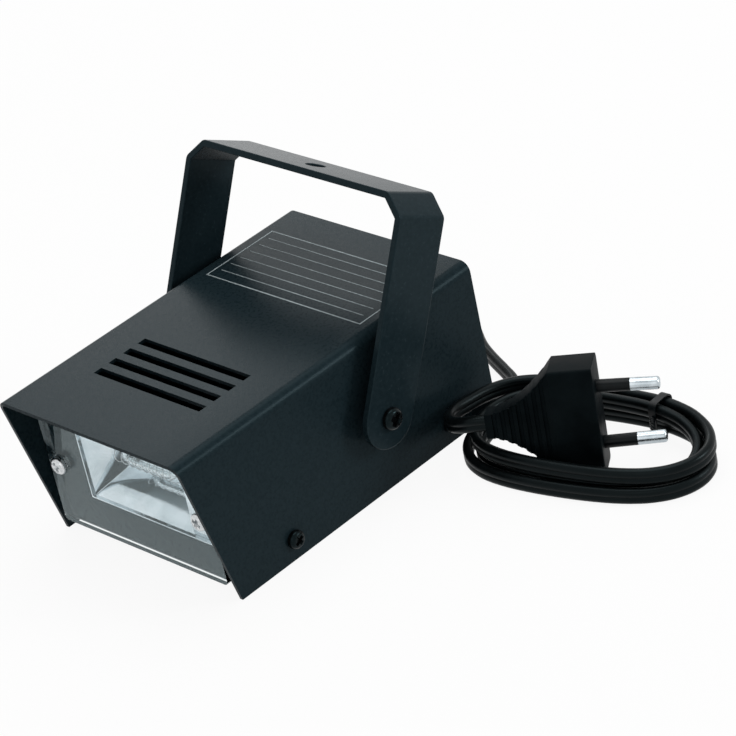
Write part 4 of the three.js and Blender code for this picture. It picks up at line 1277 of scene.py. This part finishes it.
# Nuts
# Bright hexagon nuts with eased corners: behind the window screws, inside the pivots, and round
# the bushing of the speed control.
nut_edge = 0.25 * mm

for node in (
    "window_nut_left", "window_nut_right", "pivot_nut_left", "pivot_nut_right",
    "potentiometer_nut",
):
    nut = place_piece(
        f"{node}_plated", joined_faces(node), screw_plating, "housing", "bright_metal", node,
    )
    eased(nut, nut_edge)


# Speed knob
# A black moulded knob with a skirt, fluted for grip, and a white pointer line over its top.
knob_low, knob_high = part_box("speed_knob")
knob_middle = (knob_low + knob_high) / 2
knob_radius = (knob_high.x - knob_low.x) / 2
knob_length = knob_high.y - knob_low.y
knob_top = 7.6 * mm
knob_skirt = 2.2 * mm
knob_edge = 1.1 * mm
knob_bore = 5.2 * mm
knob_rim = 0.3 * mm
knob_rim_top = 1.4 * mm
knob_root = 0.25 * mm
knob_root_top = 0.4 * mm
knob_body_rings = 3
knob_dish = 0.3 * mm
dish_edge = 0.72  # of the top's radius
dish_floor = 0.62
knob_flutes = 12
flutes_above = 0.2 * mm
flutes_outside = 0.8  # of the top's radius
knob_flute_depth = 0.75 * mm
knob_steps = 144
pointer_width = 1 * mm
pointer_depth = 0.25 * mm
pointer_length = 0.56  # of the top's radius
pointer_middle = 0.3
pointer_edge = 0.1 * mm
knob_black = (0.004, 0.0044, 0.005)
knob_grey = (0.009, 0.01, 0.011)


def make_knob():
    """The knob with its back on the origin's plane and its top towards +Z."""
    outside = [
        (knob_bore, 0), (knob_radius - knob_rim, 0), (knob_radius, knob_rim),
        (knob_radius, knob_rim_top), (knob_top + knob_root, knob_skirt),
        (knob_top, knob_skirt + knob_root_top),
    ]
    body = knob_length - knob_skirt - knob_edge
    for ring in range(1, knob_body_rings + 1):
        outside.append((knob_top, knob_skirt + ring / (knob_body_rings + 1) * body))
    outside += rounded(knob_top, knob_length, knob_edge, corner_steps)
    floor = knob_length - knob_dish
    outside += [(knob_top * dish_edge, knob_length), (knob_top * dish_floor, floor), (0, floor)]
    bm = turned(outside, knob_steps)
    for vert in bm.verts:
        reach = vert.co.xy.length
        if vert.co.z > knob_skirt + flutes_above and reach > knob_top * flutes_outside:
            turn = knob_flutes * math.atan2(vert.co.y, vert.co.x)
            flute = max(math.cos(turn), 0) ** 2 * knob_flute_depth
            vert.co.xy *= (reach - flute) / reach
    return bm


def make_pointer():
    bm = bmesh.new()
    made = bmesh.ops.create_cube(bm, size=1)["verts"]
    size = (pointer_width, knob_top * pointer_length, pointer_depth)
    bmesh.ops.scale(bm, verts=made, vec=size)
    middle = (0, -knob_top * pointer_middle, knob_length - knob_dish)
    bmesh.ops.translate(bm, verts=made, vec=middle)
    bmesh.ops.bevel(
        bm, geom=bm.edges, offset=pointer_edge, affect="EDGES", segments=2, profile=0.5,
        material=-1,
    )
    return bm


knob_plastic = finish(
    "knob_plastic", knob_black, knob_grey, roughness=(0.34, 0.48), patch=5 * mm, grain=0.5 * mm,
    depth=0.015 * mm, specular=0.35,
)
knob_place = (
    Matrix.Translation((knob_middle.x, knob_low.y, knob_middle.z))
    @ Matrix.Rotation(-math.pi / 2, 4, "X")
)
place_piece(
    "fluted_knob", moved(make_knob(), knob_place), knob_plastic, "knob", "black_plastic",
    "speed_knob", crease=30,
)
place_piece("knob_pointer", moved(make_pointer(), knob_place), ink, "knob", "black_plastic")


# Strain relief
# A soft black sleeve, snapped into the rear panel, with rings that let it bend with the cord.
relief_bore = 2.95 * mm
relief_neck = 4.2 * mm
relief_flange = 5.8 * mm
relief_flange_thick = 2 * mm
relief_root = 4.8 * mm
relief_tip_radius = 3.7 * mm
relief_web = 3.45 * mm
relief_rings = 5
ring_top = 0.62  # of the distance from ring to ring
web_from = 0.68
web_to = 0.94
relief_length = 16.7 * mm
relief_edge = 0.35 * mm
relief_wall = 1.5 * mm  # of the rear panel and its room
relief_steps = 40


def make_relief():
    """The sleeve along +Z, with its tip at the origin."""
    root = -relief_length
    seat = root - relief_flange_thick
    inner = seat - relief_wall
    back = relief_low.y - relief_high.y
    profile = [
        (relief_bore, back), (relief_flange, back), (relief_flange, inner), (relief_neck, inner),
        (relief_neck, seat), (relief_flange - relief_edge, seat),
        (relief_flange, seat + relief_edge),
    ]
    profile += rounded(relief_flange, root, relief_edge)
    step = relief_length / relief_rings
    for ring in range(relief_rings):
        start = root + ring * step
        radius = relief_root + (relief_tip_radius - relief_root) * ring / (relief_rings - 1)
        profile += [(radius - relief_edge, start), (radius, start + relief_edge)]
        profile += rounded(radius, start + ring_top * step, relief_edge)
        if ring < relief_rings - 1:
            profile += [(relief_web, start + end * step) for end in (web_from, web_to)]
    profile += [(relief_tip_radius - relief_edge, 0), (relief_bore, 0), (relief_bore, back)]
    return turned(profile, relief_steps)


relief_place = (
    Matrix.Translation((relief_x, relief_high.y, relief_z))
    @ Matrix.Rotation(-math.pi / 2, 4, "X")
)
place_piece(
    "ringed_relief", moved(make_relief(), relief_place), rubber, "housing", "rubber",
    "strain_relief",
)


# Pieces inside the housing
# The tube's grommets and socket, and the circuit board with its posts, capacitors, transformer,
# resistor and speed control.
ceramic_dark = (0.52, 0.5, 0.45)
ceramic_light = (0.68, 0.66, 0.6)
board_dark = (0.12, 0.06, 0.02)
board_light = (0.2, 0.1, 0.04)
nylon_dark = (0.56, 0.54, 0.48)
nylon_light = (0.7, 0.68, 0.62)
sleeve_dark = (0.012, 0.024, 0.045)
sleeve_light = (0.03, 0.055, 0.09)
copper_dark = (0.16, 0.05, 0.015)
copper_light = (0.34, 0.13, 0.05)

ceramic = finish(
    "unglazed_ceramic", ceramic_dark, ceramic_light, roughness=(0.7, 0.85), patch=4 * mm,
    grain=0.4 * mm, depth=0.02 * mm,
)
phenolic = finish(
    "phenolic_board", board_dark, board_light, roughness=(0.4, 0.6), patch=2 * mm, grain=0.3 * mm,
    depth=0.01 * mm, stretch=(1, 4, 1),
)
nylon = finish(
    "natural_nylon", nylon_dark, nylon_light, roughness=(0.4, 0.55), patch=3 * mm, grain=0.5 * mm,
    depth=0.01 * mm,
)
shrunk_sleeve = finish(
    "shrunk_sleeve", sleeve_dark, sleeve_light, roughness=(0.25, 0.4), patch=6 * mm,
    grain=1.2 * mm, depth=0.02 * mm,
)
copper_winding = finish(
    "copper_winding", copper_dark, copper_light, roughness=(0.25, 0.4), patch=2 * mm,
    grain=0.3 * mm, depth=0.06 * mm, metallic=0.7, stretch=(0.2, 0.2, 6),
)
for material, nodes in (
    (rubber, ("tube_sleeve_left", "tube_sleeve_right")),
    (ceramic, ("tube_socket", "ballast_resistor")),
    (phenolic, ("circuit_board",)),
    (nylon, [f"board_post_{number}" for number in range(1, 5)]),
    (shrunk_sleeve, ("storage_capacitor_left", "storage_capacitor_right")),
    (copper_winding, ("trigger_transformer",)),
    (screw_plating, ("potentiometer_body", "potentiometer_shaft")),
):
    for node in nodes:
        frame["nodes"][node].material_slots[0].material = material
